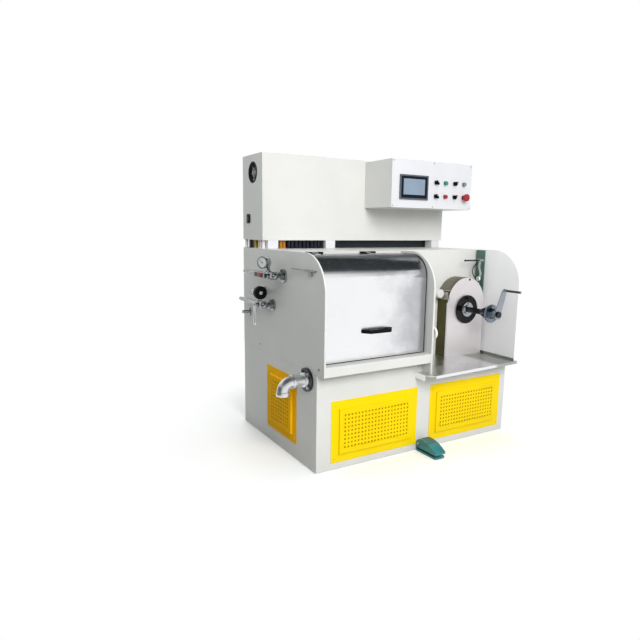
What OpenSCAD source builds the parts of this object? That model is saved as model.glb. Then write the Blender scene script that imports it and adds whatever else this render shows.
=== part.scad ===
// Fine wire drawing machine with a drawing chamber on the left and a spindle take-up on the right.
// Millimetres, Z up. The origin is the centre of the base's underside, and the front faces -Y.
// Every module draws from the front left corner of the base, and from_corner() moves it to the origin.

/* [Base] */
// Width of the machine, left to right
base_w = 1200; // [1180:10:1400]
// Depth of the machine, front to back
base_d = 812; // [780:2:960]
// Height of the base under the drawing chamber
base_h = 458; // [440:1:500]
// Height of the base under the take-up bay
bay_floor_h = 402; // [380:1:420]
// Thickness of the side plates
plate_t = 8; // [5:1:12]
// How far the side plates and the sill reach in front of the base
overhang = 60; // [50:1:80]

/* [Vent panels] */
// Bare strip of the base between the two front vent panels
vent_gap = 83; // [70:1:100]
// Height of a front vent panel
vent_h = 293; // [260:1:310]
// Height of the front vent panels above the floor
vent_low = 33; // [20:1:50]
// Distance from the left end of the base to the left vent panel
vent_left_margin = 77; // [50:1:80]
// Distance from the right vent panel to the right end of the base
vent_right_margin = 40; // [30:1:60]
// Width of the side vent panel, front to back
side_vent_w = 320; // [280:5:360]
// Height of the side vent panel
side_vent_h = 328; // [280:2:340]
// Height of the side vent panel above the floor
side_vent_low = 72; // [40:1:90]
// Distance from the front of the base to the side vent panel
side_vent_margin = 187; // [170:1:220]
// Width of the flat rim round a vent panel
vent_rim = 40; // [30:1:50]
// Height of the raised tray of a vent panel
vent_rise = 12; // [8:1:16]
// Thickness of the vent panel sheet
vent_t = 2; // [1.5:0.5:3]
// Distance between neighbouring vent holes
hole_pitch = 19; // [18:0.5:24]
// Diameter of a vent hole
hole_d = 9; // [7:0.5:11]
// Blank border between the raised tray's edge and the vent holes
vent_border = 26; // [20:1:36]
// Depth of the recess in the base behind a vent panel
vent_recess = 60; // [40:5:100]

/* [Body] */
// Height of the upper body above the base
body_h = 530; // [510:1:580]
// Distance from the front of the base to the gearbox wall
wall_y = 255; // [245:1:290]
// Radius of the round front corner of the side plates
corner_r = 175; // [150:1:190]
// Clear width of the drawing chamber
chamber_w = 594; // [570:1:610]
// Thickness of the divider plate
divider_t = 10; // [6:1:14]
// Height of the sill in front of the drawing chamber
sill_h = 45; // [35:1:60]
// Thickness of the drawing chamber's floor
floor_t = 6; // [4:1:10]
// Distance from the front of the base to the edge of the roof plate
roof_y = 200; // [190:1:215]
// Thickness of the roof plate
roof_t = 12; // [8:1:14]

/* [Chamber cover] */
// Distance from the front of the side plates back to the cover's face
cover_setback = 48; // [36:1:56]
// Radius of the cover's round top corner
cover_r = 105; // [80:1:130]
// Thickness of the cover sheet
cover_t = 2; // [1.5:0.5:3]
// Depth of the stiffening rim round the cover's ends
cover_rim = 25; // [15:1:35]
// Gap between each end of the cover and the plate beside it
cover_side_gap = 6; // [5:0.5:8]
// Gap between the cover and the roof plate
cover_rear_gap = 2; // [2:0.5:4]
// Length of one hinge
hinge_len = 90; // [60:2:100]
// Distance from the chamber's left wall to the middle of the first hinge
hinge_first = 84; // [70:1:110]
// Distance between the two hinges
hinge_spacing = 300; // [240:5:380]
// Radius of the hinge barrel
hinge_r = 5; // [4:0.5:6]
// Length of the cover's handle
handle_len = 175; // [140:1:200]
// Height of the handle's grip
handle_h = 16; // [12:1:30]
// How far the handle stands off the cover
handle_reach = 36; // [30:1:50]
// Distance from the chamber's left wall to the handle
handle_x = 212; // [150:1:230]
// Height of the handle above the sill
handle_up = 126; // [100:1:200]

/* [Drawing gear] */
// Largest radius of a drawing cone
cone_big_r = 88; // [70:1:95]
// Smallest radius of a drawing cone
cone_small_r = 40; // [30:1:50]
// Number of steps on a drawing cone
cone_steps = 6; // [4:1:8]
// Width of one step of a drawing cone
cone_step_w = 19; // [14:1:20]
// Distance between the two drawing cones
cone_spacing = 290; // [260:5:310]
// Height of the drawing cones above the chamber floor
cone_up = 235; // [215:1:270]

/* [Take-up bay] */
// How far the shelf reaches in front of the base at its left end
shelf_front = 109; // [100:1:150]
// How far the shelf reaches in front of the base at its right end
shelf_front_right = 76; // [62:1:99]
// Thickness of the shelf sheet
shelf_t = 3; // [2:0.5:5]
// How far the shelf reaches to the left of the divider
shelf_left = 42; // [30:1:60]
// Radius of the shelf's front left corner
shelf_corner_r = 38; // [20:1:50]
// Height of the shelf's front lip
shelf_lip = 12; // [8:1:20]
// Height of the shelf's curb along the guard plate
shelf_curb = 12; // [8:1:16]
// Width of the spindle housing
housing_w = 266; // [250:2:276]
// Depth of the spindle housing
housing_d = 90; // [80:1:100]
// Thickness of the housing sheet
housing_t = 3; // [2:0.5:4]
// Distance from the guard plate to the spindle
spindle_side = 149; // [147:1:170]
// Height of the spindle above the shelf
spindle_up = 260; // [240:1:285]
// Height of the arch's springing above the spindle
arch_up = 41; // [36:1:60]
// Radius of the hole in the housing's front plate
housing_hole_r = 50; // [40:1:60]

/* [Spindle] */
// Radius of the spindle shaft
shaft_r = 15; // [12:0.5:17]
// Running clearance of a shaft in its bore
run_gap = 0.05; // [0.02:0.01:0.1]
// Radius of the spool flange
flange_r = 78; // [70:1:95]
// Thickness of the spool flange
flange_t = 6; // [4:1:12]
// Radius of the hub in front of the flange
hub_r = 40; // [32:1:46]
// Length of the hub
hub_len = 14; // [10:1:24]
// Clear shaft between the hub and the cone
spool_len = 98; // [80:1:110]
// Length of the taper on the clamping cone
taper_len = 58; // [44:1:70]
// Largest radius of the clamping cone
taper_r = 48; // [38:1:56]
// Width of the clamping cone's rim
taper_rim = 8; // [5:1:12]
// Radius of the clamping cone's hub
cone_hub_r = 28; // [22:1:32]
// Length of the clamping cone's hub
cone_hub_len = 16; // [12:1:24]
// Length of the crank's hub
crank_hub_len = 25; // [20:1:36]
// Distance from the spindle to the crank's grip
crank_len = 130; // [115:1:134]
// Lean of the crank arm from upright, in degrees
crank_lean = 19; // [10:1:35]
// Length of the crank's grip
grip_len = 98; // [70:1:110]
// Length of the nut on the end of the shaft
end_nut_len = 8; // [6:1:14]

/* [Wire guides] */
// Radius of the guide wheel beside the divider
guide_wheel_r = 33; // [26:1:40]
// Height of the guide wheel above the shelf
guide_wheel_up = 195; // [160:1:230]
// Height of the guide rod above the shelf
guide_rod_up = 525; // [500:1:540]
// Radius of the guide rod
guide_rod_r = 4; // [3:0.5:6]
// Length of the guide rod
guide_rod_len = 137; // [110:1:160]
// Length of the swinging guide arm
guide_arm_len = 103; // [80:1:110]
// Radius of the guide roller
guide_roller_r = 12; // [9:1:14]
// Width of the traverse bracket, front to back
bracket_w = 62; // [50:1:66]
// Height of the traverse bracket
bracket_h = 345; // [300:1:380]
// Height of the wire inlet guide above the base
inlet_up = 450; // [430:1:470]

/* [Electrical cabinet] */
// Width of the electrical cabinet
cabinet_w = 1206; // [1180:2:1210]
// Depth of the electrical cabinet
cabinet_d = 249; // [220:1:280]
// Height of the electrical cabinet
cabinet_h = 434; // [400:2:460]
// Gap between the body and the electrical cabinet
cabinet_gap = 43; // [38:1:60]
// Width of a cabinet foot
foot_w = 60; // [50:1:64]
// Distance from the left end of the cabinet to the first pair of feet
foot_first = 30; // [10:1:60]
// Distance between the first two pairs of feet
foot_spacing = 346; // [300:1:400]
// Distance from the last pair of feet to the right end of the cabinet
foot_last = 16; // [10:1:60]
// Height of the lock above the cabinet's underside
lock_up = 86; // [60:1:120]
// Distance from the back of the cabinet to the middle of the lock
lock_from_back = 75; // [60:1:90]
// Radius of the fan opening
fan_r = 54; // [45:1:60]
// Depth of the fan opening
fan_depth = 40; // [30:1:50]
// Distance from the back of the cabinet to the fan
fan_from_back = 132; // [120:1:150]
// Height of the fan above the cabinet's underside
fan_up = 344; // [300:1:350]
// Width of the control box
box_w = 568; // [560:2:600]
// Height of the control box
box_h = 249; // [240:1:270]
// Depth of the control box
box_d = 238; // [200:1:260]
// Drop from the top of the cabinet to the top of the control box
box_drop = 7; // [0:1:20]
// Distance from the right end of the control box to the cabinet's right end
box_inset = 13; // [0:1:20]
// Thickness of the control panel
panel_t = 3; // [2:0.5:5]

/* [Controls] */
// Width of the touch screen's frame
screen_w = 193; // [180:1:210]
// Height of the touch screen's frame
screen_h = 128; // [120:1:150]
// Distance from the left end of the control panel to the touch screen
screen_x = 50; // [40:1:70]
// Height of the touch screen above the panel's lower edge
screen_up = 43; // [30:1:60]
// Distance from the left end of the control panel to the first button
button_first = 300; // [290:1:315]
// Distance between neighbouring buttons
button_pitch = 69; // [60:1:74]
// Height of the lower row of buttons above the panel's lower edge
button_up = 66; // [55:1:80]
// Distance between the two rows of buttons
row_pitch = 73; // [60:1:90]
// Radius of a button's collar
collar_r = 15; // [12:0.5:17]

/* [Pipework] */
// Distance of the pipe runs from the left side plate
pipe_off = 45; // [40:1:50]
// Radius of the coolant pipes
pipe_r = 11; // [9:0.5:13]
// Height of the upper pipe above the base
upper_pipe_up = 411; // [400:1:430]
// Distance from the front of the base to the upper pipe's flange
upper_pipe_y = 322; // [300:1:340]
// Distance from the back of the machine to the end of the upper pipe
upper_pipe_back = 122; // [60:1:140]
// Height of the lower pipe above the base
lower_pipe_up = 258; // [240:1:270]
// Distance from the front of the base to the lower pipe's flange
lower_pipe_y = 440; // [420:1:450]
// Distance from the back of the machine to the end of the lower pipe
lower_pipe_back = 62; // [40:1:80]
// Height of the hose tail above the base
hose_up = 186; // [160:1:210]
// Distance from the back of the machine to the hose tail
hose_back = 78; // [60:1:100]
// Length of the upper valve's lever
lever_len = 118; // [90:1:130]
// Length of the lower valve's lever
loop_lever_len = 104; // [90:1:120]
// Radius of the valve handwheel
handwheel_r = 33; // [26:1:36]
// Height of the handwheel above the base
handwheel_up = 316; // [310:1:330]
// Radius of the pressure gauge
gauge_r = 28; // [22:1:30]
// Turn of the gauge's face from the front towards the left, in degrees
gauge_turn = 60; // [0:5:90]
// Radius of the drain pipe
drain_r = 24; // [20:1:28]
// Height of the drain pipe below the top of the base
drain_down = 38; // [30:1:60]
// Distance from the front of the base to the drain pipe
drain_y = 85; // [75:1:100]
// Radius of the drain flange
drain_flange_r = 54; // [48:1:60]

/* [Foot switch] */
// Width of the foot switch
pedal_w = 64; // [56:1:90]
// Length of the foot switch
pedal_len = 148; // [130:1:170]
// Height of the foot switch
pedal_h = 68; // [62:1:80]
// Height of the pedal's toe
pedal_toe_h = 31; // [28:1:40]

/* [Hidden] */
$fn = 64;
// Room that a cut is given beyond the face that it opens
eps = 1;

body_top = base_h + body_h;
divider_x = plate_t + chamber_w;
bay_x = divider_x + divider_t;
guard_x = base_w - plate_t;
shelf_z = bay_floor_h + shelf_t;
vent_w = (base_w - vent_left_margin - vent_right_margin - vent_gap) / 2;
right_vent_x = vent_left_margin + vent_w + vent_gap;

cover_face = cover_setback - overhang;
cover_low = base_h + sill_h + 0.5;
cover_top = body_top - roof_t;
cover_rear = roof_y - cover_rear_gap;
cover_x = plate_t + cover_side_gap;
cover_len = chamber_w - 2 * cover_side_gap;
hinge_y = roof_y - hinge_r - cover_rear_gap;
hinge_z = cover_top + hinge_r + 1;
hinge_pin_r = hinge_r / 2;
hinge_x = [plate_t + hinge_first, plate_t + hinge_first + hinge_spacing];
knuckle_len = hinge_len / 3;
knuckle_gap = 0.5;

spindle_x = guard_x - spindle_side;
spindle_z = shelf_z + spindle_up;
housing_y = wall_y - housing_d;
arch_r = housing_w / 2;
arch_z = spindle_z + arch_up;
hood_edge_up = 64;
flange_gap = 5;
flange_back = housing_y - flange_gap;
flange_face = flange_back - flange_t;
hub_face = flange_face - hub_len;
cone_back = hub_face - spool_len;
cone_wide = cone_back - taper_len;
cone_face = cone_wide - taper_rim - cone_hub_len;
crank_face = cone_face - crank_hub_len;
shaft_back = wall_y - 25;
seat_gap = 0.3;

// The round cover over a shaft's end, beside the spindle housing
boss_r = 24;
boss_x = spindle_x - arch_r - boss_r + 4;
boss_z = spindle_z + 88;
boss_reach = 55;

guide_wheel_y = 27 - overhang;
guide_wheel_z = shelf_z + guide_wheel_up;
rod_y = housing_y + 20;
rod_z = shelf_z + guide_rod_up;
bracket_t = 8;
arm_x = guard_x - bracket_t - 24;

cabinet_y = base_d - cabinet_d;
cabinet_z = body_top + cabinet_gap;
cabinet_top = cabinet_z + cabinet_h;
fan_y = base_d - fan_from_back;
fan_z = cabinet_z + fan_up;
box_x = cabinet_w - box_inset - box_w;
box_y = cabinet_y - box_d;
box_z = cabinet_top - box_drop - box_h;
panel_y = box_y - panel_t;
screen_rim = 8;
glass_w = screen_w - 2 * screen_rim;
glass_h = screen_h - 2 * screen_rim;

upper_z = base_h + upper_pipe_up;
lower_z = base_h + lower_pipe_up;
lever_off = pipe_off + 35;
upper_pivot_y = upper_pipe_y + 40;
lower_pivot_y = lower_pipe_y + 45;
handwheel_x = pipe_off + 6;
handwheel_z = base_h + handwheel_up;
handwheel_y = upper_pipe_y + 158;
gauge_y = upper_pivot_y + 38;
gauge_tee_z = upper_z + pipe_r + 5;
gauge_z = upper_z + gauge_r + 34;
drain_z = base_h - drain_down;
drain_bend_r = 42;
drain_run = 82;

pedal_x = vent_left_margin + vent_w + 1;
lug_w = 24;
lug_r = 9;
pedal_pin_r = 4;
pedal_pin_y = -18;
pedal_pin_z = 40;

cream = "#E3E2DB";
cream_shade = "#C9CCC8";
yellow = "#F5C90F";
steel = "#C4C6C8";
dark_steel = "#55585B";
black = "#1E1F21";
olive = "#55563A";
green = "#3F5B50";
white = "#F1F1EE";

module from_corner() {
    translate([-base_w / 2, -base_d / 2, 0]) children();
}

// An outline drawn in y and z, made into a sheet of thickness t that starts at x
module sheet_yz(x, t) {
    translate([x, 0, 0]) rotate([90, 0, 90]) linear_extrude(t) children();
}

// An outline drawn in x and z, made into a sheet of thickness t that ends at y and lies in front of it
module sheet_xz(y, t) {
    translate([0, y, 0]) rotate([90, 0, 0]) linear_extrude(t) children();
}

// A round bar along X, from x0 to x1
module bar_x(x0, x1, y, z, r) {
    translate([x0, y, z]) rotate([0, 90, 0]) cylinder(h = x1 - x0, r = r);
}

// A round bar along Y, from y0 to y1
module bar_y(y0, y1, x, z, r) {
    translate([x, y0, z]) rotate([-90, 0, 0]) cylinder(h = y1 - y0, r = r);
}

// A profile of radius and length, turned round an axis that runs towards -Y from y0
module turned_y(x, y0, z) {
    translate([x, y0, z]) rotate([90, 0, 0]) rotate_extrude() children();
}

// A rectangle whose upper front corner is round
module plate_outline(front, back, low, high, r) {
    difference() {
        translate([front, low]) square([back - front, high - low]);
        difference() {
            translate([front - eps, high - r]) square([r + eps, r + eps]);
            translate([front + r, high - r]) circle(r, $fn = 128);
        }
    }
}

module rounded_square(w, h, r) {
    translate([r, 0]) square([w - 2 * r, h]);
    translate([0, r]) square([w, h - 2 * r]);
    for (x = [r, w - r], y = [r, h - r]) translate([x, y]) circle(r, $fn = 32);
}

// A pressed vent panel that lies in x and z, from [0, 0] to [w, h], and is raised towards -Y
module vent_panel(w, h) {
    tray_w = w - 2 * vent_rim;
    tray_h = h - 2 * vent_rim;
    cols = floor((tray_w - 2 * vent_border) / hole_pitch) + 1;
    rows = floor((tray_h - 2 * vent_border) / hole_pitch) + 1;
    sheet_xz(0, vent_t) difference() {
        square([w, h]);
        translate([vent_rim + vent_t, vent_rim + vent_t]) square([tray_w - 2 * vent_t, tray_h - 2 * vent_t]);
    }
    sheet_xz(0, vent_rise - vent_t) translate([vent_rim, vent_rim]) difference() {
        square([tray_w, tray_h]);
        translate([vent_t, vent_t]) square([tray_w - 2 * vent_t, tray_h - 2 * vent_t]);
    }
    sheet_xz(vent_t - vent_rise, vent_t) translate([vent_rim, vent_rim]) difference() {
        square([tray_w, tray_h]);
        translate([tray_w / 2 - (cols - 1) * hole_pitch / 2, tray_h / 2 - (rows - 1) * hole_pitch / 2])
            for (i = [0:cols - 1], j = [0:rows - 1])
                translate([i * hole_pitch, j * hole_pitch]) circle(hole_d / 2, $fn = 16);
    }
}

// The recess behind a vent panel, with the panel's corner at the origin
module vent_cut(w, h) {
    edge = vent_rim + vent_t;
    translate([edge, -eps, edge]) cube([w - 2 * edge, vent_recess + eps, h - 2 * edge]);
}

module base_cabinet() {
    color(cream) from_corner() difference() {
        cube([base_w, base_d, base_h]);
        translate([divider_x, -eps, bay_floor_h]) cube([base_w - divider_x + eps, wall_y + eps, base_h]);
        for (x = [vent_left_margin, right_vent_x]) translate([x, 0, vent_low]) vent_cut(vent_w, vent_h);
        translate([0, side_vent_margin + side_vent_w, side_vent_low]) rotate([0, 0, -90])
            vent_cut(side_vent_w, side_vent_h);
    }
}

module front_left_vent() {
    color(yellow) from_corner() translate([vent_left_margin, 0, vent_low]) vent_panel(vent_w, vent_h);
}

module front_right_vent() {
    color(yellow) from_corner() translate([right_vent_x, 0, vent_low]) vent_panel(vent_w, vent_h);
}

module side_vent() {
    color(yellow) from_corner() translate([0, side_vent_margin + side_vent_w, side_vent_low])
        rotate([0, 0, -90]) vent_panel(side_vent_w, side_vent_h);
}

module left_side_plate() {
    color(cream_shade) from_corner() sheet_yz(0, plate_t)
        plate_outline(-overhang, base_d, base_h, body_top, corner_r);
}

module gearbox_body() {
    color(cream) from_corner() {
        translate([plate_t, wall_y, base_h]) cube([base_w - plate_t, base_d - wall_y, body_h]);
        translate([plate_t, roof_y, cover_top]) cube([chamber_w, wall_y - roof_y, roof_t]);
        turned_y(boss_x, wall_y + eps, boss_z) polygon([[0, 0], [boss_r, 0], [boss_r, boss_reach - 3],
            [boss_r - 4, boss_reach + eps], [0, boss_reach + eps]]);
    }
}

module divider_plate() {
    color(cream) from_corner() {
        sheet_yz(divider_x, divider_t) plate_outline(-overhang, wall_y, shelf_z, body_top, corner_r);
        bar_x(bay_x, bay_x + 30, guide_wheel_y, guide_wheel_z, 6);
    }
}

module guard_plate() {
    color(cream) from_corner() sheet_yz(guard_x, plate_t)
        plate_outline(-overhang, wall_y, shelf_z, body_top, corner_r);
}

// The chamber's floor and the boxed sill along its front
module chamber_trough() {
    color(cream) from_corner() sheet_yz(plate_t, chamber_w) {
        translate([-overhang, base_h]) square([overhang, sill_h]);
        translate([0, base_h]) square([wall_y, floor_t]);
    }
}

module stepped_cone() {
    rotate([90, 0, 0]) rotate_extrude() for (i = [0:cone_steps - 1]) {
        r = cone_big_r - (cone_big_r - cone_small_r) * i / (cone_steps - 1);
        translate([0, i * cone_step_w]) square([r, cone_step_w]);
        translate([0, i * cone_step_w]) square([r + 3, 3]);
    }
}

module drawing_cones() {
    middle = plate_t + chamber_w / 2;
    color(steel) from_corner() for (side = [-1, 1])
        translate([middle + side * cone_spacing / 2, wall_y, base_h + floor_t + cone_up]) stepped_cone();
}

module die_holder() {
    rack_w = 60;
    rack_h = 150;
    rack_d = 110;
    slots = 5;
    color(dark_steel) from_corner() translate([plate_t + (chamber_w - rack_w) / 2, wall_y - rack_d,
        base_h + floor_t + cone_up - rack_h / 2]) difference() {
        cube([rack_w, rack_d, rack_h]);
        for (i = [1:slots]) translate([-eps, i * rack_d / (slots + 1) - 5, rack_h - 40])
            cube([rack_w + 2 * eps, 8, 41]);
    }
}

// The roof's part of a hinge, with the pin through all three knuckles
module roof_hinges() {
    color(steel) from_corner() for (x = hinge_x) {
        for (side = [0, 2]) {
            x0 = x - hinge_len / 2 + side * knuckle_len;
            bar_x(x0, x0 + knuckle_len - knuckle_gap, hinge_y, hinge_z, hinge_r);
            translate([x0, hinge_y, hinge_z]) cube([knuckle_len - knuckle_gap, roof_y - hinge_y, hinge_r]);
        }
        bar_x(x - hinge_len / 2, x + hinge_len / 2 - knuckle_gap, hinge_y, hinge_z, hinge_pin_r);
    }
}

// The ring between the cover's outer outline and one set in by depth
module cover_ring(depth) {
    difference() {
        plate_outline(cover_face, cover_rear, cover_low, cover_top, cover_r);
        plate_outline(cover_face + depth, cover_rear + eps, cover_low - eps, cover_top - depth,
            cover_r - depth);
    }
}

// The cover's part of a hinge, whose middle knuckle starts at x0
module cover_leaf(x0) {
    leaf_d = 34;
    leaf_t = 3;
    sunk = cover_t / 2;
    difference() {
        union() {
            bar_x(x0, x0 + knuckle_len - knuckle_gap, hinge_y, hinge_z, hinge_r);
            translate([x0, hinge_y - leaf_d, cover_top - sunk])
                cube([knuckle_len - knuckle_gap, leaf_d, leaf_t + sunk]);
        }
        bar_x(x0 - eps, x0 + knuckle_len + eps, hinge_y, hinge_z, hinge_pin_r + run_gap);
    }
}

module chamber_cover() {
    color(steel) from_corner() {
        sheet_yz(cover_x, cover_len) cover_ring(cover_t);
        for (x = [cover_x, cover_x + cover_len - cover_t]) sheet_yz(x, cover_t) cover_ring(cover_rim);
        translate([cover_x, cover_face, cover_low]) cube([cover_len, cover_rim, cover_t]);
        for (x = hinge_x) cover_leaf(x - hinge_len / 2 + knuckle_len);
    }
}

module cover_handle() {
    foot = 14;
    taper = 30;
    bar = 10;
    color(black) from_corner() translate([plate_t + handle_x, cover_face, base_h + sill_h + handle_up])
        linear_extrude(handle_h) difference() {
            polygon([[0, 0], [taper, -handle_reach], [handle_len - taper, -handle_reach], [handle_len, 0]]);
            translate([foot, eps]) polygon([[0, 0], [taper, -handle_reach + bar],
                [handle_len - 2 * foot - taper, -handle_reach + bar], [handle_len - 2 * foot, 0]]);
        }
}

// The shelf's front edge slants, so its round corner is placed where it touches that edge
module takeup_shelf() {
    left = divider_x - shelf_left;
    left_flange = 26;
    slope = (shelf_front - shelf_front_right) / (base_w - left);
    slant = atan(slope);
    centre = [left + shelf_corner_r, -shelf_front + slope * shelf_corner_r + shelf_corner_r / cos(slant)];
    bend = centre + shelf_corner_r * [sin(slant), -cos(slant)];
    front_right = [base_w, -shelf_front_right];
    color(steel) from_corner() {
        translate([0, 0, bay_floor_h]) linear_extrude(shelf_t) {
            translate([divider_x, 0]) square([base_w - divider_x, wall_y]);
            polygon([bend, front_right, [base_w, 0], [left, 0], [left, centre[1]]]);
            translate(centre) circle(shelf_corner_r);
        }
        translate([0, 0, bay_floor_h - shelf_lip]) linear_extrude(shelf_lip)
            polygon([bend, front_right, front_right + [0, shelf_t], bend + [0, shelf_t]]);
        translate([left, centre[1], bay_floor_h - left_flange]) cube([shelf_t, -centre[1], left_flange]);
        translate([base_w - shelf_t, -shelf_front_right, bay_floor_h - shelf_lip])
            cube([shelf_t, shelf_front_right, shelf_lip]);
        translate([guard_x - shelf_t, -overhang, bay_floor_h])
            cube([shelf_t, wall_y + overhang, shelf_t + shelf_curb]);
    }
}

module arch_outline(r, low) {
    translate([spindle_x, arch_z]) circle(r, $fn = 128);
    translate([spindle_x - r, low]) square([2 * r, arch_z - low]);
}

module spindle_housing() {
    left = spindle_x - arch_r;
    return_w = 10;
    hood_low = arch_z + hood_edge_up;
    hood_x = spindle_x - sqrt(arch_r * arch_r - hood_edge_up * hood_edge_up);
    color(steel) from_corner() {
        sheet_xz(housing_y + housing_t, housing_t) difference() {
            arch_outline(arch_r, shelf_z);
            translate([spindle_x, spindle_z]) circle(housing_hole_r);
        }
        // The hood over the arch, the right wall, and the lip along the hood's left edge
        sheet_xz(wall_y, housing_d - housing_t) {
            difference() {
                arch_outline(arch_r, shelf_z);
                arch_outline(arch_r - housing_t, shelf_z - eps);
                translate([left - eps, shelf_z - eps]) square([arch_r, hood_low - shelf_z + eps]);
            }
            translate([hood_x - return_w, hood_low]) square([return_w + 4, housing_t]);
        }
        translate([left, housing_y, shelf_z]) cube([housing_t, return_w, arch_z - shelf_z]);
    }
}

module spindle_pedestal() {
    inset = 8;
    left = spindle_x - arch_r + inset;
    front = housing_y + housing_t + 4;
    high = arch_z + 14;
    color(olive) from_corner() difference() {
        union() {
            translate([left, front, shelf_z])
                cube([housing_w - 2 * inset - housing_t, wall_y - front, high - shelf_z]);
            bar_y(housing_y - 1, front + eps, spindle_x, spindle_z, shaft_r + 14);
        }
        bar_y(housing_y - 2, shaft_back + 0.3, spindle_x, spindle_z, shaft_r + run_gap);
    }
}

module spindle_shaft() {
    nut_r = shaft_r + 1;
    color(dark_steel) from_corner() {
        bar_y(crank_face, shaft_back, spindle_x, spindle_z, shaft_r);
        bar_y(crank_face - end_nut_len, crank_face, spindle_x, spindle_z, nut_r);
    }
}

// The flange, with the pin that drives the spool
module spindle_flange() {
    pin_r = 5;
    pin_len = 16;
    color(black) from_corner() difference() {
        union() {
            bar_y(flange_face, flange_back, spindle_x, spindle_z, flange_r);
            bar_y(flange_face - pin_len, flange_face + eps, spindle_x, spindle_z + flange_r - 18, pin_r);
        }
        bar_y(flange_face - eps, flange_back + eps, spindle_x, spindle_z, shaft_r);
    }
}

module spindle_hub() {
    nose_len = 8;
    nose_r = hub_r - 14;
    color(steel) from_corner() difference() {
        union() {
            bar_y(hub_face + nose_len, flange_face, spindle_x, spindle_z, hub_r);
            bar_y(hub_face, hub_face + nose_len + eps, spindle_x, spindle_z, nose_r);
        }
        bar_y(hub_face - eps, flange_face + eps, spindle_x, spindle_z, shaft_r);
    }
}

module spool_cone() {
    bore_r = shaft_r + run_gap;
    rim_y = taper_len + taper_rim;
    face_y = rim_y + cone_hub_len;
    color(steel) from_corner() turned_y(spindle_x, cone_back, spindle_z)
        polygon([[bore_r, 0], [shaft_r + 5, 0], [taper_r, taper_len], [taper_r, rim_y], [cone_hub_r, rim_y],
            [cone_hub_r, face_y], [bore_r, face_y]]);
}

module clamp_crank() {
    arm_t = 8;
    root_w = 22;
    tip_w = 14;
    tip_r = 9;
    grip_r = 5.5;
    bore_r = shaft_r + run_gap;
    hub_front = 2 * seat_gap - crank_hub_len;
    color(steel) from_corner() translate([spindle_x, cone_face - seat_gap, spindle_z]) {
        difference() {
            union() {
                bar_y(hub_front, 0, 0, 0, shaft_r + 11);
                rotate([0, crank_lean, 0]) translate([0, hub_front + 1 + arm_t, 0]) rotate([90, 0, 0])
                    linear_extrude(arm_t)
                        polygon([[-root_w, 0], [root_w, 0], [tip_w, crank_len - 4], [6, crank_len + 6],
                            [-6, crank_len + 6], [-tip_w, crank_len - 4]]);
            }
            bar_y(hub_front - eps, eps, 0, 0, bore_r);
        }
        rotate([0, crank_lean, 0]) {
            bar_y(hub_front, hub_front + arm_t + 2, 0, crank_len, tip_r);
            bar_y(hub_front - grip_len, hub_front + eps, 0, crank_len, grip_r);
        }
    }
}

module guide_wheel() {
    wheel_w = 10;
    gap = 10;
    color(white) from_corner() translate([bay_x + gap, guide_wheel_y, guide_wheel_z]) rotate([0, 90, 0])
        rotate_extrude() difference() {
            square([guide_wheel_r, wheel_w]);
            translate([guide_wheel_r, wheel_w / 2]) circle(3, $fn = 24);
            translate([14, -eps]) square([guide_wheel_r - 22, 4]);
            translate([14, wheel_w - 3]) square([guide_wheel_r - 22, 4]);
            translate([-eps, -eps]) square([6 + run_gap + eps, wheel_w + 2 * eps]);
        }
}

// A plate against the guard, narrower below, with two slots for setting the guide
module traverse_bracket() {
    toe = 26;
    slot_w = 11;
    slot_h = 60;
    color(green) from_corner() translate([0, rod_y - 2, body_top - 3 - bracket_h])
        sheet_yz(guard_x - bracket_t, bracket_t) difference() {
            polygon([[bracket_w - toe, 0], [bracket_w, 0], [bracket_w, bracket_h], [0, bracket_h],
                [0, bracket_h / 3]]);
            for (z = [bracket_h * 0.42, bracket_h * 0.68]) translate([bracket_w / 2, z]) {
                translate([0, slot_h / 2]) circle(slot_w / 2, $fn = 24);
                translate([0, -slot_h / 2]) circle(slot_w / 2, $fn = 24);
                translate([-slot_w / 2, -slot_h / 2]) square([slot_w, slot_h]);
            }
        }
}

module guide_rod() {
    right = guard_x - bracket_t;
    color(dark_steel) from_corner() {
        bar_x(right - guide_rod_len, right, rod_y + 6, rod_z, guide_rod_r);
        translate([right - guide_rod_len, rod_y + 6, rod_z]) sphere(guide_rod_r + 2);
    }
}

// A zigzag arm that hangs from the guide rod and carries the roller's pin
module guide_arm() {
    arm_t = 6;
    half_w = 5;
    kink = 7;
    kink_z = [-guide_arm_len * 0.35, -guide_arm_len * 0.7];
    color(steel) from_corner() translate([arm_x, rod_y + 6, rod_z]) {
        difference() {
            union() {
                bar_x(0, arm_t, 0, 0, guide_rod_r + 6);
                sheet_yz(0, arm_t) polygon([[-half_w, 0], [half_w, 0], [half_w + kink, kink_z[0]],
                    [half_w - kink, kink_z[1]], [half_w, -guide_arm_len], [-half_w, -guide_arm_len],
                    [-half_w - kink, kink_z[1]], [kink - half_w, kink_z[0]]]);
                bar_x(0, arm_t, 0, -guide_arm_len, 5);
            }
            bar_x(-eps, arm_t + eps, 0, 0, guide_rod_r + run_gap);
        }
        bar_x(-9, 1, 0, -guide_arm_len, 4);
    }
}

module guide_roller() {
    roller_w = 8;
    color(white) from_corner() translate([arm_x - roller_w - 0.5, rod_y + 6, rod_z - guide_arm_len])
        rotate([0, 90, 0]) rotate_extrude() difference() {
            square([guide_roller_r, roller_w]);
            translate([guide_roller_r + 1, roller_w / 2]) circle(3, $fn = 24);
            translate([-eps, -eps]) square([4 + eps, roller_w + 2 * eps]);
        }
}

module electrical_cabinet() {
    color(cream) from_corner() difference() {
        translate([0, cabinet_y, cabinet_z]) cube([cabinet_w, cabinet_d, cabinet_h]);
        bar_x(-eps, fan_depth, fan_y, fan_z, fan_r);
    }
}

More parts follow.
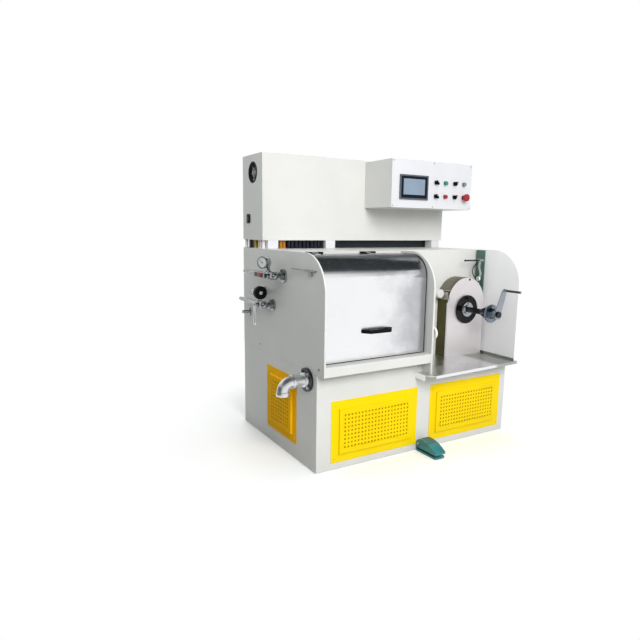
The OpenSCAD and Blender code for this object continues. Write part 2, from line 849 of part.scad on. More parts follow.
module cabinet_feet() {
    feet_x = [foot_first, foot_first + foot_spacing, cabinet_w - foot_w - foot_last];
    color(white) from_corner() for (x = feet_x, y = [cabinet_y, base_d - foot_w])
        translate([x, y, body_top]) cube([foot_w, foot_w, cabinet_gap]);
}

module cable_trunk() {
    margin = foot_w + 10;
    color(black) from_corner() translate([40, cabinet_y + margin, body_top])
        cube([cabinet_w - 90, cabinet_d - 2 * margin, cabinet_gap]);
}

module fan_housing() {
    ring_w = 4;
    color(black) from_corner() {
        difference() {
            bar_x(-1, fan_depth, fan_y, fan_z, fan_r);
            bar_x(-2, fan_depth - 4, fan_y, fan_z, fan_r - ring_w);
        }
        bar_x(10, fan_depth - 3, fan_y, fan_z, 5);
    }
}

module fan_rotor() {
    blades = 7;
    reach = fan_r - 9;
    color(black) from_corner() translate([8, fan_y, fan_z]) difference() {
        union() {
            bar_x(0, 22, 0, 0, 17);
            for (i = [0:blades - 1]) rotate([i * 360 / blades, 0, 0]) translate([11, 0, 12])
                rotate([0, 0, 35]) translate([-9, -1.25, 0]) cube([18, 2.5, reach - 12]);
        }
        bar_x(2, 23, 0, 0, 5 + run_gap);
    }
}

module cabinet_lock() {
    lock_w = 42;
    lock_h = 48;
    color(black) from_corner() translate([0, base_d - lock_from_back + lock_w / 2, cabinet_z + lock_up])
        rotate([0, 0, -90]) sheet_xz(0, 4) rounded_square(lock_w, lock_h, 8);
}

module control_box() {
    color(cream) from_corner() translate([box_x, box_y, box_z]) cube([box_w, box_d, box_h]);
}

module control_panel() {
    color(white) from_corner() translate([box_x, panel_y, box_z]) cube([box_w, panel_t, box_h]);
}

module screen_frame() {
    frame_t = 8;
    color(dark_steel) from_corner() translate([box_x + screen_x, 0, box_z + screen_up])
        sheet_xz(panel_y, frame_t) difference() {
            square([screen_w, screen_h]);
            translate([screen_rim, screen_rim]) square([glass_w, glass_h]);
        }
}

module touch_screen() {
    glass_t = 6;
    color(black) from_corner() translate([box_x + screen_x + screen_rim, 0, box_z + screen_up + screen_rim])
        sheet_xz(panel_y, glass_t) square([glass_w, glass_h]);
}

// Place for the control in column i, from 0, and row j, from 0 at the bottom
module at_button(i, j) {
    translate([box_x + button_first + i * button_pitch, panel_y, box_z + button_up + j * row_pitch])
        children();
}

module button_collars() {
    color(steel) from_corner() for (i = [0:3], j = [0:1]) at_button(i, j) difference() {
        bar_y(-6, 0, 0, 0, collar_r);
        bar_y(-7, -2, 0, 0, collar_r - 4);
    }
}

module selector_knobs() {
    color(black) from_corner() for (at = [[0, 1], [2, 1], [0, 0], [2, 0]])
        at_button(at[0], at[1]) {
            bar_y(-14, -2, 0, 0, collar_r - 4.5);
            rotate([0, at[0] == 0 ? -30 : 35, 0]) translate([-4, -24, -collar_r + 3])
                cube([8, 12, 2 * collar_r - 6]);
        }
}

// A push button in its collar
module button_cap(i, j) {
    at_button(i, j) bar_y(-15, -2, 0, 0, collar_r - 4.5);
}

module green_button() {
    color("#1F9A62") from_corner() button_cap(1, 1);
}

module red_button() {
    color("#C7202C") from_corner() button_cap(1, 0);
}

module grey_button() {
    color("#A9ADB0") from_corner() button_cap(3, 1);
}

module emergency_stop() {
    color("#C7202C") from_corner() at_button(3, 0) {
        bar_y(-24, -2, 0, 0, collar_r - 4.5);
        bar_y(-34, -22, 0, 0, collar_r + 5);
    }
}

module wire_inlet_guide() {
    guide_z = base_h + inlet_up;
    color(dark_steel) from_corner() {
        translate([-12, 14, guide_z]) cube([12, 86, 7]);
        translate([-9, 46, guide_z - 20]) cube([9, 22, 21]);
        bar_y(99, 231, -8, guide_z + 3.5, 2.5);
        bar_x(-8, 0, 228.5, guide_z + 3.5, 2.5);
    }
}

module drain_elbow() {
    bend_x = -drain_run;
    band_r = drain_r + 7;
    color(steel) from_corner() difference() {
        union() {
            bar_x(-12, 0, drain_y, drain_z, drain_flange_r);
            bar_x(-24, -11, drain_y, drain_z, drain_r + 10);
            bar_x(bend_x, -23, drain_y, drain_z, drain_r);
            bar_x(bend_x, bend_x + 16, drain_y, drain_z, band_r);
            translate([bend_x, drain_y, drain_z - drain_bend_r]) rotate([90, 0, 180])
                rotate_extrude(angle = 90) translate([drain_bend_r, 0]) circle(drain_r + 3);
            translate([bend_x - drain_bend_r, drain_y, drain_z - drain_bend_r - 16])
                cylinder(h = 18, r = band_r);
        }
        translate([bend_x - drain_bend_r, drain_y, drain_z - drain_bend_r - 17])
            cylinder(h = 23, r = drain_r);
    }
}

// A round flange on the side plate, with a nipple that turns back into a pipe along the plate
module wall_elbow(y, z, flange_r) {
    bar_x(-9, 0, y, z, flange_r);
    bar_x(-20, -8, y, z, pipe_r + 6);
    bar_x(-pipe_off, -19, y, z, pipe_r);
    translate([-pipe_off, y, z]) sphere(pipe_r + 4);
}

// A pipe along the plate whose rear end is turned down to take a coupling
module pipe_run(y0, y1, z) {
    end_len = 20;
    bar_y(y0, y1 - end_len, -pipe_off, z, pipe_r);
    bar_y(y1 - end_len - eps, y1, -pipe_off, z, pipe_r - 1.5);
}

// A ball valve body on a pipe along the plate, with the stem towards the outside
module valve_body(y, z) {
    bar_y(y - 24, y + 24, -pipe_off, z, pipe_r + 7);
    bar_x(-lever_off + 6, -pipe_off, y, z, 9);
    bar_x(-lever_off - 6, -pipe_off, y, z, 4);
}

module coolant_pipes() {
    upper_end = base_d - upper_pipe_back;
    lower_end = base_d - lower_pipe_back;
    hose_y = base_d - hose_back;
    hose_z = base_h + hose_up;
    hand_x = -handwheel_x;
    color(steel) from_corner() {
        wall_elbow(upper_pipe_y, upper_z, 33);
        pipe_run(upper_pipe_y, upper_end, upper_z);
        valve_body(upper_pivot_y, upper_z);
        translate([-pipe_off, gauge_y, upper_z]) cylinder(h = gauge_tee_z - upper_z, r = pipe_r - 1);
        wall_elbow(lower_pipe_y, lower_z, 29);
        pipe_run(lower_pipe_y, lower_end, lower_z);
        valve_body(lower_pivot_y, lower_z);
        // The regulating valve behind the handwheel
        bar_x(hand_x, 0, handwheel_y + 60, handwheel_z, pipe_r);
        bar_x(-8, 0, handwheel_y + 60, handwheel_z, 24);
        bar_y(handwheel_y + 34, handwheel_y + 78, hand_x, handwheel_z, 17);
        bar_y(handwheel_y - 6, handwheel_y + 40, hand_x, handwheel_z, 5);
        // The short hose tail near the rear
        bar_x(-42, 0, hose_y, hose_z, 9);
        bar_x(-8, 0, hose_y, hose_z, 19);
    }
}

// A gauge held from behind by a stem that stands on the upper pipe
module pressure_gauge() {
    body_len = 34;
    neck_len = 16;
    stem_r = 8;
    color(steel) from_corner() translate([-pipe_off, gauge_y, 0]) {
        translate([0, 0, gauge_tee_z]) cylinder(h = gauge_z + 12 - gauge_tee_z, r = stem_r);
        rotate([0, 0, -gauge_turn]) {
            bar_y(-neck_len - eps, 0, 0, gauge_z, stem_r - 2);
            bar_y(-neck_len - body_len, -neck_len, 0, gauge_z, gauge_r);
        }
    }
}

// A lever whose eye is at the origin, in the plane x = 0, and which points towards +Y
module lever() {
    lever_t = 4;
    difference() {
        union() {
            bar_x(-lever_t / 2, lever_t / 2, 0, 0, 12);
            translate([-lever_t / 2, 0, -7]) cube([lever_t, 30, 14]);
            translate([-lever_t, 28, -10]) cube([2 * lever_t, lever_len - 28, 20]);
        }
        bar_x(-lever_t, lever_t, 0, 0, 4 + run_gap);
    }
}

// A flat looped lever that widens from its eye at the origin, in the plane x = 0, towards +Y
module loop_lever() {
    lever_t = 5;
    eye_r = 13;
    end_r = 16;
    end_y = loop_lever_len - end_r;
    slot_y = 36;
    slot_r = 5;
    slot_end_r = 8;
    difference() {
        sheet_yz(-lever_t / 2, lever_t) difference() {
            union() {
                circle(eye_r);
                polygon([[0, -eye_r + 1], [end_y, -end_r], [end_y, end_r], [0, eye_r - 1]]);
                translate([end_y, 0]) circle(end_r);
            }
            translate([slot_y, 0]) circle(slot_r, $fn = 24);
            polygon([[slot_y, -slot_r], [end_y, -slot_end_r], [end_y, slot_end_r], [slot_y, slot_r]]);
            translate([end_y, 0]) circle(slot_end_r, $fn = 24);
        }
        bar_x(-lever_t, lever_t, 0, 0, 4 + run_gap);
    }
}

module upper_valve_lever() {
    color("#B5262B") from_corner() translate([-lever_off, upper_pivot_y, upper_z]) lever();
}

module lower_valve_lever() {
    color(steel) from_corner() translate([-lever_off, lower_pivot_y, lower_z]) rotate([-90, 0, 0])
        loop_lever();
}

module valve_handwheel() {
    color(black) from_corner() translate([-handwheel_x, handwheel_y, handwheel_z]) difference() {
        bar_y(-6, 14, 0, 0, handwheel_r);
        bar_y(-7, 15, 0, 0, 5 + run_gap);
        bar_y(-7, -2, 0, 0, handwheel_r - 12);
    }
}

// The sole on the floor, with the lug and the pin that carry the pedal
module foot_switch_base() {
    sole_t = 8;
    sole_r = 10;
    lug_x = pedal_x + (pedal_w - lug_w) / 2;
    color("#3F8792") from_corner() {
        translate([pedal_x, -pedal_len, 0]) linear_extrude(sole_t) rounded_square(pedal_w, pedal_len, sole_r);
        sheet_yz(lug_x, lug_w) translate([pedal_pin_y, 0]) {
            translate([-lug_r, 0]) square([2 * lug_r, pedal_pin_z]);
            translate([0, pedal_pin_z]) circle(lug_r);
        }
        bar_x(pedal_x + 2, pedal_x + pedal_w - 2, pedal_pin_y, pedal_pin_z, pedal_pin_r);
    }
}

// A domed pedal, highest at its crown, with a slot at the rear that straddles the lug
module foot_pedal() {
    rear = -8;
    crown = -42;
    low = 20;
    rear_drop = 16;
    steps = 12;
    slot_gap = 1;
    slot_d = lug_r + 6;
    back = [for (i = [0:steps]) let (t = 1 - i / steps)
        [crown + t * (rear - crown), pedal_h - rear_drop * t * t]];
    front = [for (i = [1:steps]) let (t = i / steps)
        [crown + t * (-pedal_len - crown), pedal_h - (pedal_h - pedal_toe_h) * t * t]];
    color("#4B6A66") from_corner() difference() {
        sheet_yz(pedal_x, pedal_w) polygon(concat([[-pedal_len, low], [rear, low]], back, front));
        translate([pedal_x + (pedal_w - lug_w) / 2 - slot_gap, pedal_pin_y - slot_d, low - eps])
            cube([lug_w + 2 * slot_gap, slot_d - pedal_pin_y, pedal_pin_z + lug_r + 5 - low]);
        bar_x(pedal_x - eps, pedal_x + pedal_w + eps, pedal_pin_y, pedal_pin_z, pedal_pin_r + run_gap);
    }
}

base_cabinet();
front_left_vent();
front_right_vent();
side_vent();
left_side_plate();
gearbox_body();
divider_plate();
guard_plate();
chamber_trough();
drawing_cones();
die_holder();
roof_hinges();
chamber_cover();
cover_handle();
takeup_shelf();
spindle_housing();
spindle_pedestal();
spindle_shaft();
spindle_flange();
spindle_hub();
spool_cone();
clamp_crank();
guide_wheel();
traverse_bracket();
guide_rod();
guide_arm();
guide_roller();
electrical_cabinet();
cabinet_feet();
cable_trunk();
fan_housing();
fan_rotor();
cabinet_lock();
control_box();
control_panel();
screen_frame();
touch_screen();
button_collars();
selector_knobs();
green_button();
red_button();
grey_button();
emergency_stop();
wire_inlet_guide();
drain_elbow();
coolant_pipes();
pressure_gauge();
upper_valve_lever();
lower_valve_lever();
valve_handwheel();
foot_switch_base();
foot_pedal();
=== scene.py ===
import bmesh
import bpy
import math
from mathutils import Matrix, Vector


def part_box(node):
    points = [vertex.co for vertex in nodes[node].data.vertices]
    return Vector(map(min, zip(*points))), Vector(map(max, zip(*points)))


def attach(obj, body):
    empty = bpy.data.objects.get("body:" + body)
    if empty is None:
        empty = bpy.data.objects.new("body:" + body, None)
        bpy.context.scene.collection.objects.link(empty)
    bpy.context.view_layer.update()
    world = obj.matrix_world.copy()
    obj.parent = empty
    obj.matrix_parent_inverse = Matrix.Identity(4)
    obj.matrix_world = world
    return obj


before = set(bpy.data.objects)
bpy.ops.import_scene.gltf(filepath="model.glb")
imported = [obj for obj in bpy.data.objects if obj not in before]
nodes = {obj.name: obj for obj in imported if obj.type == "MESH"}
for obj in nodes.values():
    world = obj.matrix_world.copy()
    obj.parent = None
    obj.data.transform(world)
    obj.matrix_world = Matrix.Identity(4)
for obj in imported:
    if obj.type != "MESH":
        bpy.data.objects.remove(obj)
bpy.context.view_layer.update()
print("frame loaded:", len(nodes), "CAD nodes")

# Places below are in mm from the base's front left corner: x right, y back, z up
baseCorner = (-600, -406, 0)
toFrame = Matrix.Scale(0.001, 4) @ Matrix.Translation(baseCorner)
toCorner = toFrame.inverted()
left, right = Vector((-1, 0, 0)), Vector((1, 0, 0))
front, back = Vector((0, -1, 0)), Vector((0, 1, 0))
up = Vector((0, 0, 1))


def span(node):
    low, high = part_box(node)
    return toCorner @ low, toCorner @ high


def middle(node):
    low, high = span(node)
    return (low + high) / 2


# The photo's camera: metres, degrees, and lens and sensor in mm
photo = dict(place=(-1.775, -2.411, 1.089), yaw=30.62, pitch=9.39, roll=0.727, lens=30.81, sensor=36, sees=60)


def makeCamera():
    yaw, pitch, roll = (math.radians(photo[k]) for k in ("yaw", "pitch", "roll"))
    ahead = Vector((math.sin(yaw) * math.cos(pitch), math.cos(yaw) * math.cos(pitch), -math.sin(pitch)))
    across = Vector((math.cos(yaw), -math.sin(yaw), 0))
    above = across.cross(ahead)
    camX = across * math.cos(roll) + above * math.sin(roll)
    camY = above * math.cos(roll) - across * math.sin(roll)
    data = bpy.data.cameras.new("photoCamera")
    data.lens = photo["lens"]
    data.sensor_width = photo["sensor"]
    data.clip_end = photo["sees"]
    camera = bpy.data.objects.new("photoCamera", data)
    camera.matrix_world = Matrix((camX, camY, -ahead)).transposed().to_4x4()
    camera.location = photo["place"]
    bpy.context.scene.collection.objects.link(camera)
    bpy.context.scene.camera = camera


makeCamera()


def linear(hexColour):
    values = [int(hexColour[i:i + 2], 16) / 255 for i in (1, 3, 5)]
    return tuple(v / 12.92 if v <= 0.04045 else ((v + 0.055) / 1.055) ** 2.4 for v in values) + (1,)


def addNode(tree, kind, inputs={}, **settings):
    made = tree.nodes.new("ShaderNode" + kind)
    for name, value in settings.items():
        setattr(made, name, value)
    for name, value in inputs.items():
        if isinstance(value, bpy.types.NodeSocket):
            tree.links.new(value, made.inputs[name])
        else:
            made.inputs[name].default_value = value
    return made


def fade(tree, pattern, start, end, one, two, **curve):
    # Colour one where the pattern is at its start, colour two where it is at its end
    amount = addNode(tree, "MapRange", {"Value": pattern, "From Min": start, "From Max": end}, **curve)
    mixed = addNode(tree, "Mix", {"Factor": amount.outputs[0], "A": one, "B": two}, data_type="RGBA")
    return mixed.outputs["Result"]


# Each lamp: name, place and aim in metres, size in metres, power in watts
studio = dict(
    floorColour="#FFFFFF", bounceColour="#AAAAAA", floorReach=14, floorDrop=0.0005, fadeFrom=0.78, fadeTo=1.22,
    ambientColour="#F1F8F7", ambient=0.74, lampColour=(1, 0.985, 0.97),
    lamps=[
        ("keyLamp", (-0.87, -3.4, 2.5), (0.1, -0.2, 0.65), 1.8, 121),
        ("rearLamp", (1.0, 4.6, 3.2), (0, 0, 0.8), 2.4, 90),
    ])
# Dark overhead card and grey side flag, in metres
card = dict(left=-5, right=6.5, front=-14, back=0.9, height=3.4, darkFrom=-2.8, whiteFrom=-12, dark="#303436")
flag = dict(x=-1.75, front=-1.2, back=1.6, low=0.02, high=0.9, colour="#3C3F3E")
white = (1, 1, 1, 1)


def seenDirectly(tree):
    # 1 for what the camera sees, also in a mirror; 0 for light that only bounces
    path = addNode(tree, "LightPath")
    rays = {0: path.outputs["Is Camera Ray"], 1: path.outputs["Is Glossy Ray"]}
    return addNode(tree, "Math", rays, operation="MAXIMUM").outputs[0]


def makeStudio():
    world = bpy.data.worlds.new("studioWorld")
    bpy.context.scene.world = world
    world.use_nodes = True
    tree = world.node_tree
    tree.nodes.clear()
    ambient = linear(studio["ambientColour"])
    light = addNode(tree, "Background", {"Color": ambient, "Strength": studio["ambient"]})
    plain = addNode(tree, "Background", {"Color": white, "Strength": 1})
    mixed = addNode(tree, "MixShader", {0: seenDirectly(tree), 1: light.outputs[0], 2: plain.outputs[0]})
    addNode(tree, "OutputWorld", {"Surface": mixed.outputs[0]})
    for name, at, towards, size, power in studio["lamps"]:
        data = bpy.data.lights.new(name, "AREA")
        data.size = size
        data.energy = power
        data.color = studio["lampColour"]
        lamp = bpy.data.objects.new(name, data)
        lamp.location = at
        lamp.rotation_euler = (Vector(towards) - Vector(at)).to_track_quat("-Z", "Y").to_euler()
        lamp.visible_glossy = False
        bpy.context.scene.collection.objects.link(lamp)


def stageSheet(name, corners, materialName):
    mesh = bpy.data.meshes.new(name)
    mesh.from_pydata(corners, [], [(0, 1, 2, 3)])
    sheet = bpy.data.objects.new(name, mesh)
    bpy.context.scene.collection.objects.link(sheet)
    material = bpy.data.materials.new(materialName)
    material.use_nodes = True
    material.node_tree.nodes.clear()
    mesh.materials.append(material)
    return sheet, material.node_tree


def makeFloor():
    r = studio["floorReach"]
    floor, tree = stageSheet("studioFloor", [(-r, -r, 0), (r, -r, 0), (r, r, 0), (-r, r, 0)], "paleFloor")
    floor.location.z = -studio["floorDrop"]
    # Painted floor near the machine, which takes its shadow, and plain white further out
    where = addNode(tree, "TexCoord").outputs["Object"]
    distance = addNode(tree, "VectorMath", {0: where}, operation="LENGTH").outputs["Value"]
    further = addNode(tree, "MapRange", {
        "Value": distance, "From Min": studio["fadeFrom"], "From Max": studio["fadeTo"]},
        interpolation_type="SMOOTHSTEP")
    seen = seenDirectly(tree)
    amount = addNode(tree, "Math", {0: further.outputs[0], 1: seen}, operation="MULTIPLY")
    # Greyer for light that bounces, so that the floor doesn't light the low left faces too much
    tone = fade(tree, seen, 0, 1, linear(studio["bounceColour"]), linear(studio["floorColour"]))
    paint = addNode(tree, "BsdfDiffuse", {"Color": tone})
    glow = addNode(tree, "Emission", {"Color": white, "Strength": 1})
    mixed = addNode(tree, "MixShader", {0: amount.outputs[0], 1: paint.outputs[0], 2: glow.outputs[0]})
    addNode(tree, "OutputMaterial", {"Surface": mixed.outputs[0]})


def makeCeilingCard():
    # A dark card overhead, fading to white at its front, gives the curved steel its soft dark band
    z = card["height"]
    ceiling, tree = stageSheet("ceilingCard", [
        (card["left"], card["front"], z), (card["left"], card["back"], z),
        (card["right"], card["back"], z), (card["right"], card["front"], z)], "blackCard")
    where = addNode(tree, "SeparateXYZ", {"Vector": addNode(tree, "TexCoord").outputs["Object"]})
    tone = fade(tree, where.outputs["Y"], card["darkFrom"], card["whiteFrom"], linear(card["dark"]), white,
                interpolation_type="SMOOTHSTEP")
    glow = addNode(tree, "Emission", {"Color": tone, "Strength": 1})
    addNode(tree, "OutputMaterial", {"Surface": glow.outputs[0]})
    ceiling.visible_camera = ceiling.visible_diffuse = False
    ceiling.visible_shadow = ceiling.visible_transmission = False


def makeSideFlag():
    # A grey flag on the left takes light off the left faces and darkens what their chrome reflects
    x, near, far, low, high = (flag[k] for k in ("x", "front", "back", "low", "high"))
    corners = [(x, near, low), (x, far, low), (x, far, high), (x, near, high)]
    side, tree = stageSheet("sideFlag", corners, "greyFlag")
    cloth = addNode(tree, "BsdfDiffuse", {"Color": linear(flag["colour"])})
    addNode(tree, "OutputMaterial", {"Surface": cloth.outputs[0]})
    side.visible_camera = False


makeStudio()
makeFloor()
makeCeilingCard()
makeSideFlag()
bpy.context.scene.view_settings.view_transform = "Standard"
print("studio ready")


def newFinish(name):
    material = bpy.data.materials.new(name)
    material.use_nodes = True
    tree = material.node_tree
    tree.nodes.clear()
    shader = addNode(tree, "BsdfPrincipled")
    addNode(tree, "OutputMaterial", {"Surface": shader.outputs[0]})
    return material, tree, shader, addNode(tree, "TexCoord").outputs


def perMetre(mm):
    return 1000 / mm


def coat(tree, shader, colour, wear, roughness, relief, bump, depth=0.0002):
    # The wear pattern takes the roughness from one value to the other, the relief pattern gives the bump
    uneven = addNode(tree, "MapRange", {
        "Value": wear, "From Min": 0.3, "From Max": 0.7, "To Min": roughness[0], "To Max": roughness[1]})
    raised = addNode(tree, "Bump", {"Height": relief, "Strength": bump, "Distance": depth})
    tree.links.new(colour, shader.inputs["Base Color"])
    tree.links.new(uneven.outputs[0], shader.inputs["Roughness"])
    tree.links.new(raised.outputs[0], shader.inputs["Normal"])


# What holds for every paint, steel, plating and plastic below, unless its own line says otherwise
everyPaint = dict(cloudMm=260, wipeMm=40, peelMm=1.6, peel=0.12, peelDepth=0.0004, gloss=0.5, outside=None,
                  lowDarkening=0, lowDarkeningHeight=0.16, lowDarkeningMm=55, lowDarkeningColour="#6E6A5C")
everySteel = dict(streakMm=2, smearMm=120, smearShare=0.6, bump=0.03, metallic=1, paintedShadeSpan=None, waver=0.35,
                  paintedTopShade=None)
everyPlating = dict(smearMm=14, markMm=2, bump=0.05)
everyPlastic = dict(handledMm=22, grainMm=0.8, grain=0.1, gloss=0.5)


def paintFinish(name, look):
    # Paint on sheet or castings: satin and even, with orange peel, slow changes of tone and a patchy darkening
    # low down
    look = {**everyPaint, **look}
    material, tree, shader, coords = newFinish(name)
    where = coords["Object"]
    clouds = addNode(tree, "TexNoise", {
        "Vector": where, "Scale": perMetre(look["cloudMm"]), "Detail": 4, "Roughness": 0.55})
    colour = fade(tree, clouds.outputs["Fac"], 0.35, 0.65, linear(look["colour"]), linear(look["shade"]))
    if look["outside"]:
        # Painted light: the face that looks inwards is coloured paler, for the light that it gets in the bay;
        # the face that looks outwards has the machine's own colour
        facing = addNode(tree, "SeparateXYZ", {"Vector": coords["Normal"]}).outputs["X"]
        colour = fade(tree, facing, 0.4, 0.6, colour, linear(look["outside"]))
    # Patchy, darker colour towards the bottom, up to a given height
    if look["lowDarkening"]:
        height = addNode(tree, "SeparateXYZ", {"Vector": where}).outputs["Z"]
        low = addNode(tree, "MapRange", {
            "Value": height, "From Min": look["lowDarkeningHeight"], "From Max": 0, "To Max": look["lowDarkening"]},
            interpolation_type="SMOOTHSTEP")
        patches = addNode(tree, "TexNoise", {
            "Vector": where, "Scale": perMetre(look["lowDarkeningMm"]), "Detail": 6, "Roughness": 0.65})
        amount = addNode(tree, "Math", {0: low.outputs[0], 1: patches.outputs["Fac"]}, operation="MULTIPLY")
        colour = fade(tree, amount.outputs[0], 0, 1, colour, linear(look["lowDarkeningColour"]))
    wipe = addNode(tree, "TexNoise", {
        "Vector": where, "Scale": perMetre(look["wipeMm"]), "Detail": 5, "Roughness": 0.6})
    # Real orange peel is about 1.5 mm across
    peel = addNode(tree, "TexNoise", {"Vector": where, "Scale": perMetre(look["peelMm"]), "Detail": 2})
    rough = look["roughness"]
    coat(tree, shader, colour, wipe.outputs["Fac"], (rough - 0.05, rough + 0.07), peel.outputs["Fac"],
         look["peel"], look["peelDepth"])
    shader.inputs["Specular IOR Level"].default_value = look["gloss"]
    return material


def brushedFinish(name, look):
    # Sheet or bar steel, brushed or ground one way: bright, with fine streaks that stretch every highlight
    look = {**everySteel, **look}
    material, tree, shader, coords = newFinish(name)
    where = coords["Object"]
    stretch = addNode(tree, "Mapping", {"Vector": where, "Scale": look["stretch"]}).outputs[0]
    # Brush lines are about 0.2 mm apart; drawn wider, so that they show at all
    streaks = addNode(tree, "TexNoise", {
        "Vector": stretch, "Scale": perMetre(look["streakMm"]), "Detail": 4, "Roughness": 0.6}).outputs["Fac"]
    smears = addNode(tree, "TexNoise", {
        "Vector": where, "Scale": perMetre(look["smearMm"]), "Detail": 3, "Roughness": 0.5}).outputs["Fac"]
    colour = fade(tree, streaks, 0.25, 0.75, linear(look["colour"]), linear(look["shade"]))
    shader.inputs["Metallic"].default_value = look["metallic"]
    if look["paintedShadeSpan"]:
        # Painted shade: the colour turns to a darker grey from one place in x to another, in wide soft smears,
        # for a dimmer reflection there
        across = addNode(tree, "SeparateXYZ", {"Vector": where}).outputs["X"]
        wavy = addNode(tree, "Math", {0: smears, 1: look["waver"], 2: across}, operation="MULTIPLY_ADD")
        colour = fade(tree, wavy.outputs[0], *look["paintedShadeSpan"], colour, linear(look["paintedShadeColour"]),
                      interpolation_type="SMOOTHSTEP")
    if look["paintedTopShade"]:
        # Painted shade and reflection: faces that look upwards are coloured dark and made fully metallic;
        # upright faces stay satin and pale
        facing = addNode(tree, "SeparateXYZ", {"Vector": coords["Normal"]}).outputs["Z"]
        topside = addNode(tree, "MapRange", {
            "Value": facing, "From Min": look["topFrom"][0], "From Max": look["topFrom"][1]},
            interpolation_type="SMOOTHSTEP").outputs[0]
        colour = fade(tree, topside, 0, 1, colour, linear(look["paintedTopShade"]))
        metal = addNode(tree, "MapRange", {"Value": topside, "To Min": look["metallic"], "To Max": 1})
        tree.links.new(metal.outputs[0], shader.inputs["Metallic"])
    wear = addNode(tree, "Mix", {"Factor": look["smearShare"], "A": streaks, "B": smears}, data_type="FLOAT")
    rough = look["roughness"]
    coat(tree, shader, colour, wear.outputs["Result"], (rough - 0.05, rough + 0.06), streaks, look["bump"])
    return material


def platedFinish(name, look):
    # Turned or plated steel: a hard mirror with faint smears and fine turning marks
    look = {**everyPlating, **look}
    material, tree, shader, coords = newFinish(name)
    where = coords["Object"]
    smears = addNode(tree, "TexNoise", {
        "Vector": where, "Scale": perMetre(look["smearMm"]), "Detail": 5, "Roughness": 0.6}).outputs["Fac"]
    marks = addNode(tree, "TexNoise", {"Vector": where, "Scale": perMetre(look["markMm"]), "Detail": 3})
    colour = fade(tree, smears, 0.3, 0.7, linear(look["colour"]), linear(look["shade"]))
    rough = look["roughness"]
    coat(tree, shader, colour, smears, (rough * 0.7, rough * 1.5), marks.outputs["Fac"], look["bump"])
    shader.inputs["Metallic"].default_value = 1
    return material


def plasticFinish(name, look):
    # Moulded plastic or rubber: one body colour, a fine spark-eroded grain and a soft or sharp gloss
    look = {**everyPlastic, **look}
    material, tree, shader, coords = newFinish(name)
    where = coords["Object"]
    handled = addNode(tree, "TexNoise", {
        "Vector": where, "Scale": perMetre(look["handledMm"]), "Detail": 4, "Roughness": 0.6}).outputs["Fac"]
    grain = addNode(tree, "TexNoise", {"Vector": where, "Scale": perMetre(look["grainMm"]), "Detail": 2})
    colour = fade(tree, handled, 0.3, 0.7, linear(look["colour"]), linear(look["shade"]))
    rough = look["roughness"]
    coat(tree, shader, colour, handled, (rough - 0.06, rough + 0.06), grain.outputs["Fac"], look["grain"])
    shader.inputs["Specular IOR Level"].default_value = look["gloss"]
    return material


def filmFinish(name, look):
    # Screen film or dial enamel: flat and smooth, with only a slow change of tone
    material, tree, shader, coords = newFinish(name)
    clouds = addNode(tree, "TexNoise", {
        "Vector": coords["Object"], "Scale": perMetre(look["cloudMm"]), "Detail": look["detail"]})
    colour = fade(tree, clouds.outputs["Fac"], 0, 1, linear(look["colour"]), linear(look["shade"]))
    tree.links.new(colour, shader.inputs["Base Color"])
    shader.inputs["Roughness"].default_value = look["roughness"]
    return material


paints = {
    # On sheet metal: warm off-white; a paler coat on the guard's inner face, which is painted light; a cleaner
    # white; and yellows that stay flat and clear, the side one deeper as painted shade
    "creamPowderCoat": dict(colour="#DBDAD8", shade="#D5D5D2", roughness=0.33, lowDarkening=0.1),
    # The guard's inner face is paler than the machine's cream as painted light; its outer face is cream
    "paintedLightInnerCoat": dict(colour="#F9F8FA", shade="#F4F3F5", roughness=0.4, outside="#DBDAD8"),
    "whitePowderCoat": dict(colour="#DDDDE1", shade="#D8D8DD", roughness=0.4),
    "yellowPowderCoat": dict(colour="#F8D900", shade="#F4D200", roughness=0.38, lowDarkening=0.08, gloss=0.16),
    # Side vent: the same yellow paint, deeper and more orange as painted shade on its face turned from the
    # light
    "paintedShadeYellowCoat": dict(colour="#FFC60A", shade="#FFBC06", roughness=0.5, lowDarkening=0.05, gloss=0.05),
    # On castings: thick and coarse, so that the light breaks up on it
    "oliveMachinePaint": dict(colour="#4C4A19", shade="#3F3C12", roughness=0.45, gloss=0.3, peelMm=3, peel=0.3,
                              cloudMm=80),
    "greenMachinePaint": dict(colour="#4E7062", shade="#3F5F53", roughness=0.38, peelMm=3, peel=0.25,
                              cloudMm=60),
    "tealHammerPaint": dict(colour="#2C8289", shade="#24727A", roughness=0.35, peelMm=5, peel=0.7, cloudMm=30,
                            lowDarkening=0.1),
    "oliveTreadPaint": dict(colour="#5F6A58", shade="#4F5A4B", roughness=0.5, peelMm=5, peel=0.6, cloudMm=20),
    # Stoved enamel: near black, with a hard shine
    "blackEnamel": dict(colour="#070808", shade="#0B0C0D", roughness=0.16, cloudMm=30, gloss=0.3, peel=0.05),
    # Conduit jackets: one clear colour with a dull sheen
    "yellowCableJacket": dict(colour="#E0C21A", shade="#CDB015", roughness=0.45, cloudMm=20),
    "orangeCableJacket": dict(colour="#C98224", shade="#B8741D", roughness=0.45, cloudMm=20),
    "whiteCableJacket": dict(colour="#EDE4E2", shade="#E4DBD9", roughness=0.45, cloudMm=20),
    "blueCableJacket": dict(colour="#151C31", shade="#101628", roughness=0.45, cloudMm=20),
    "blackCableJacket": dict(colour="#121418", shade="#191C22", roughness=0.45, cloudMm=20),
}
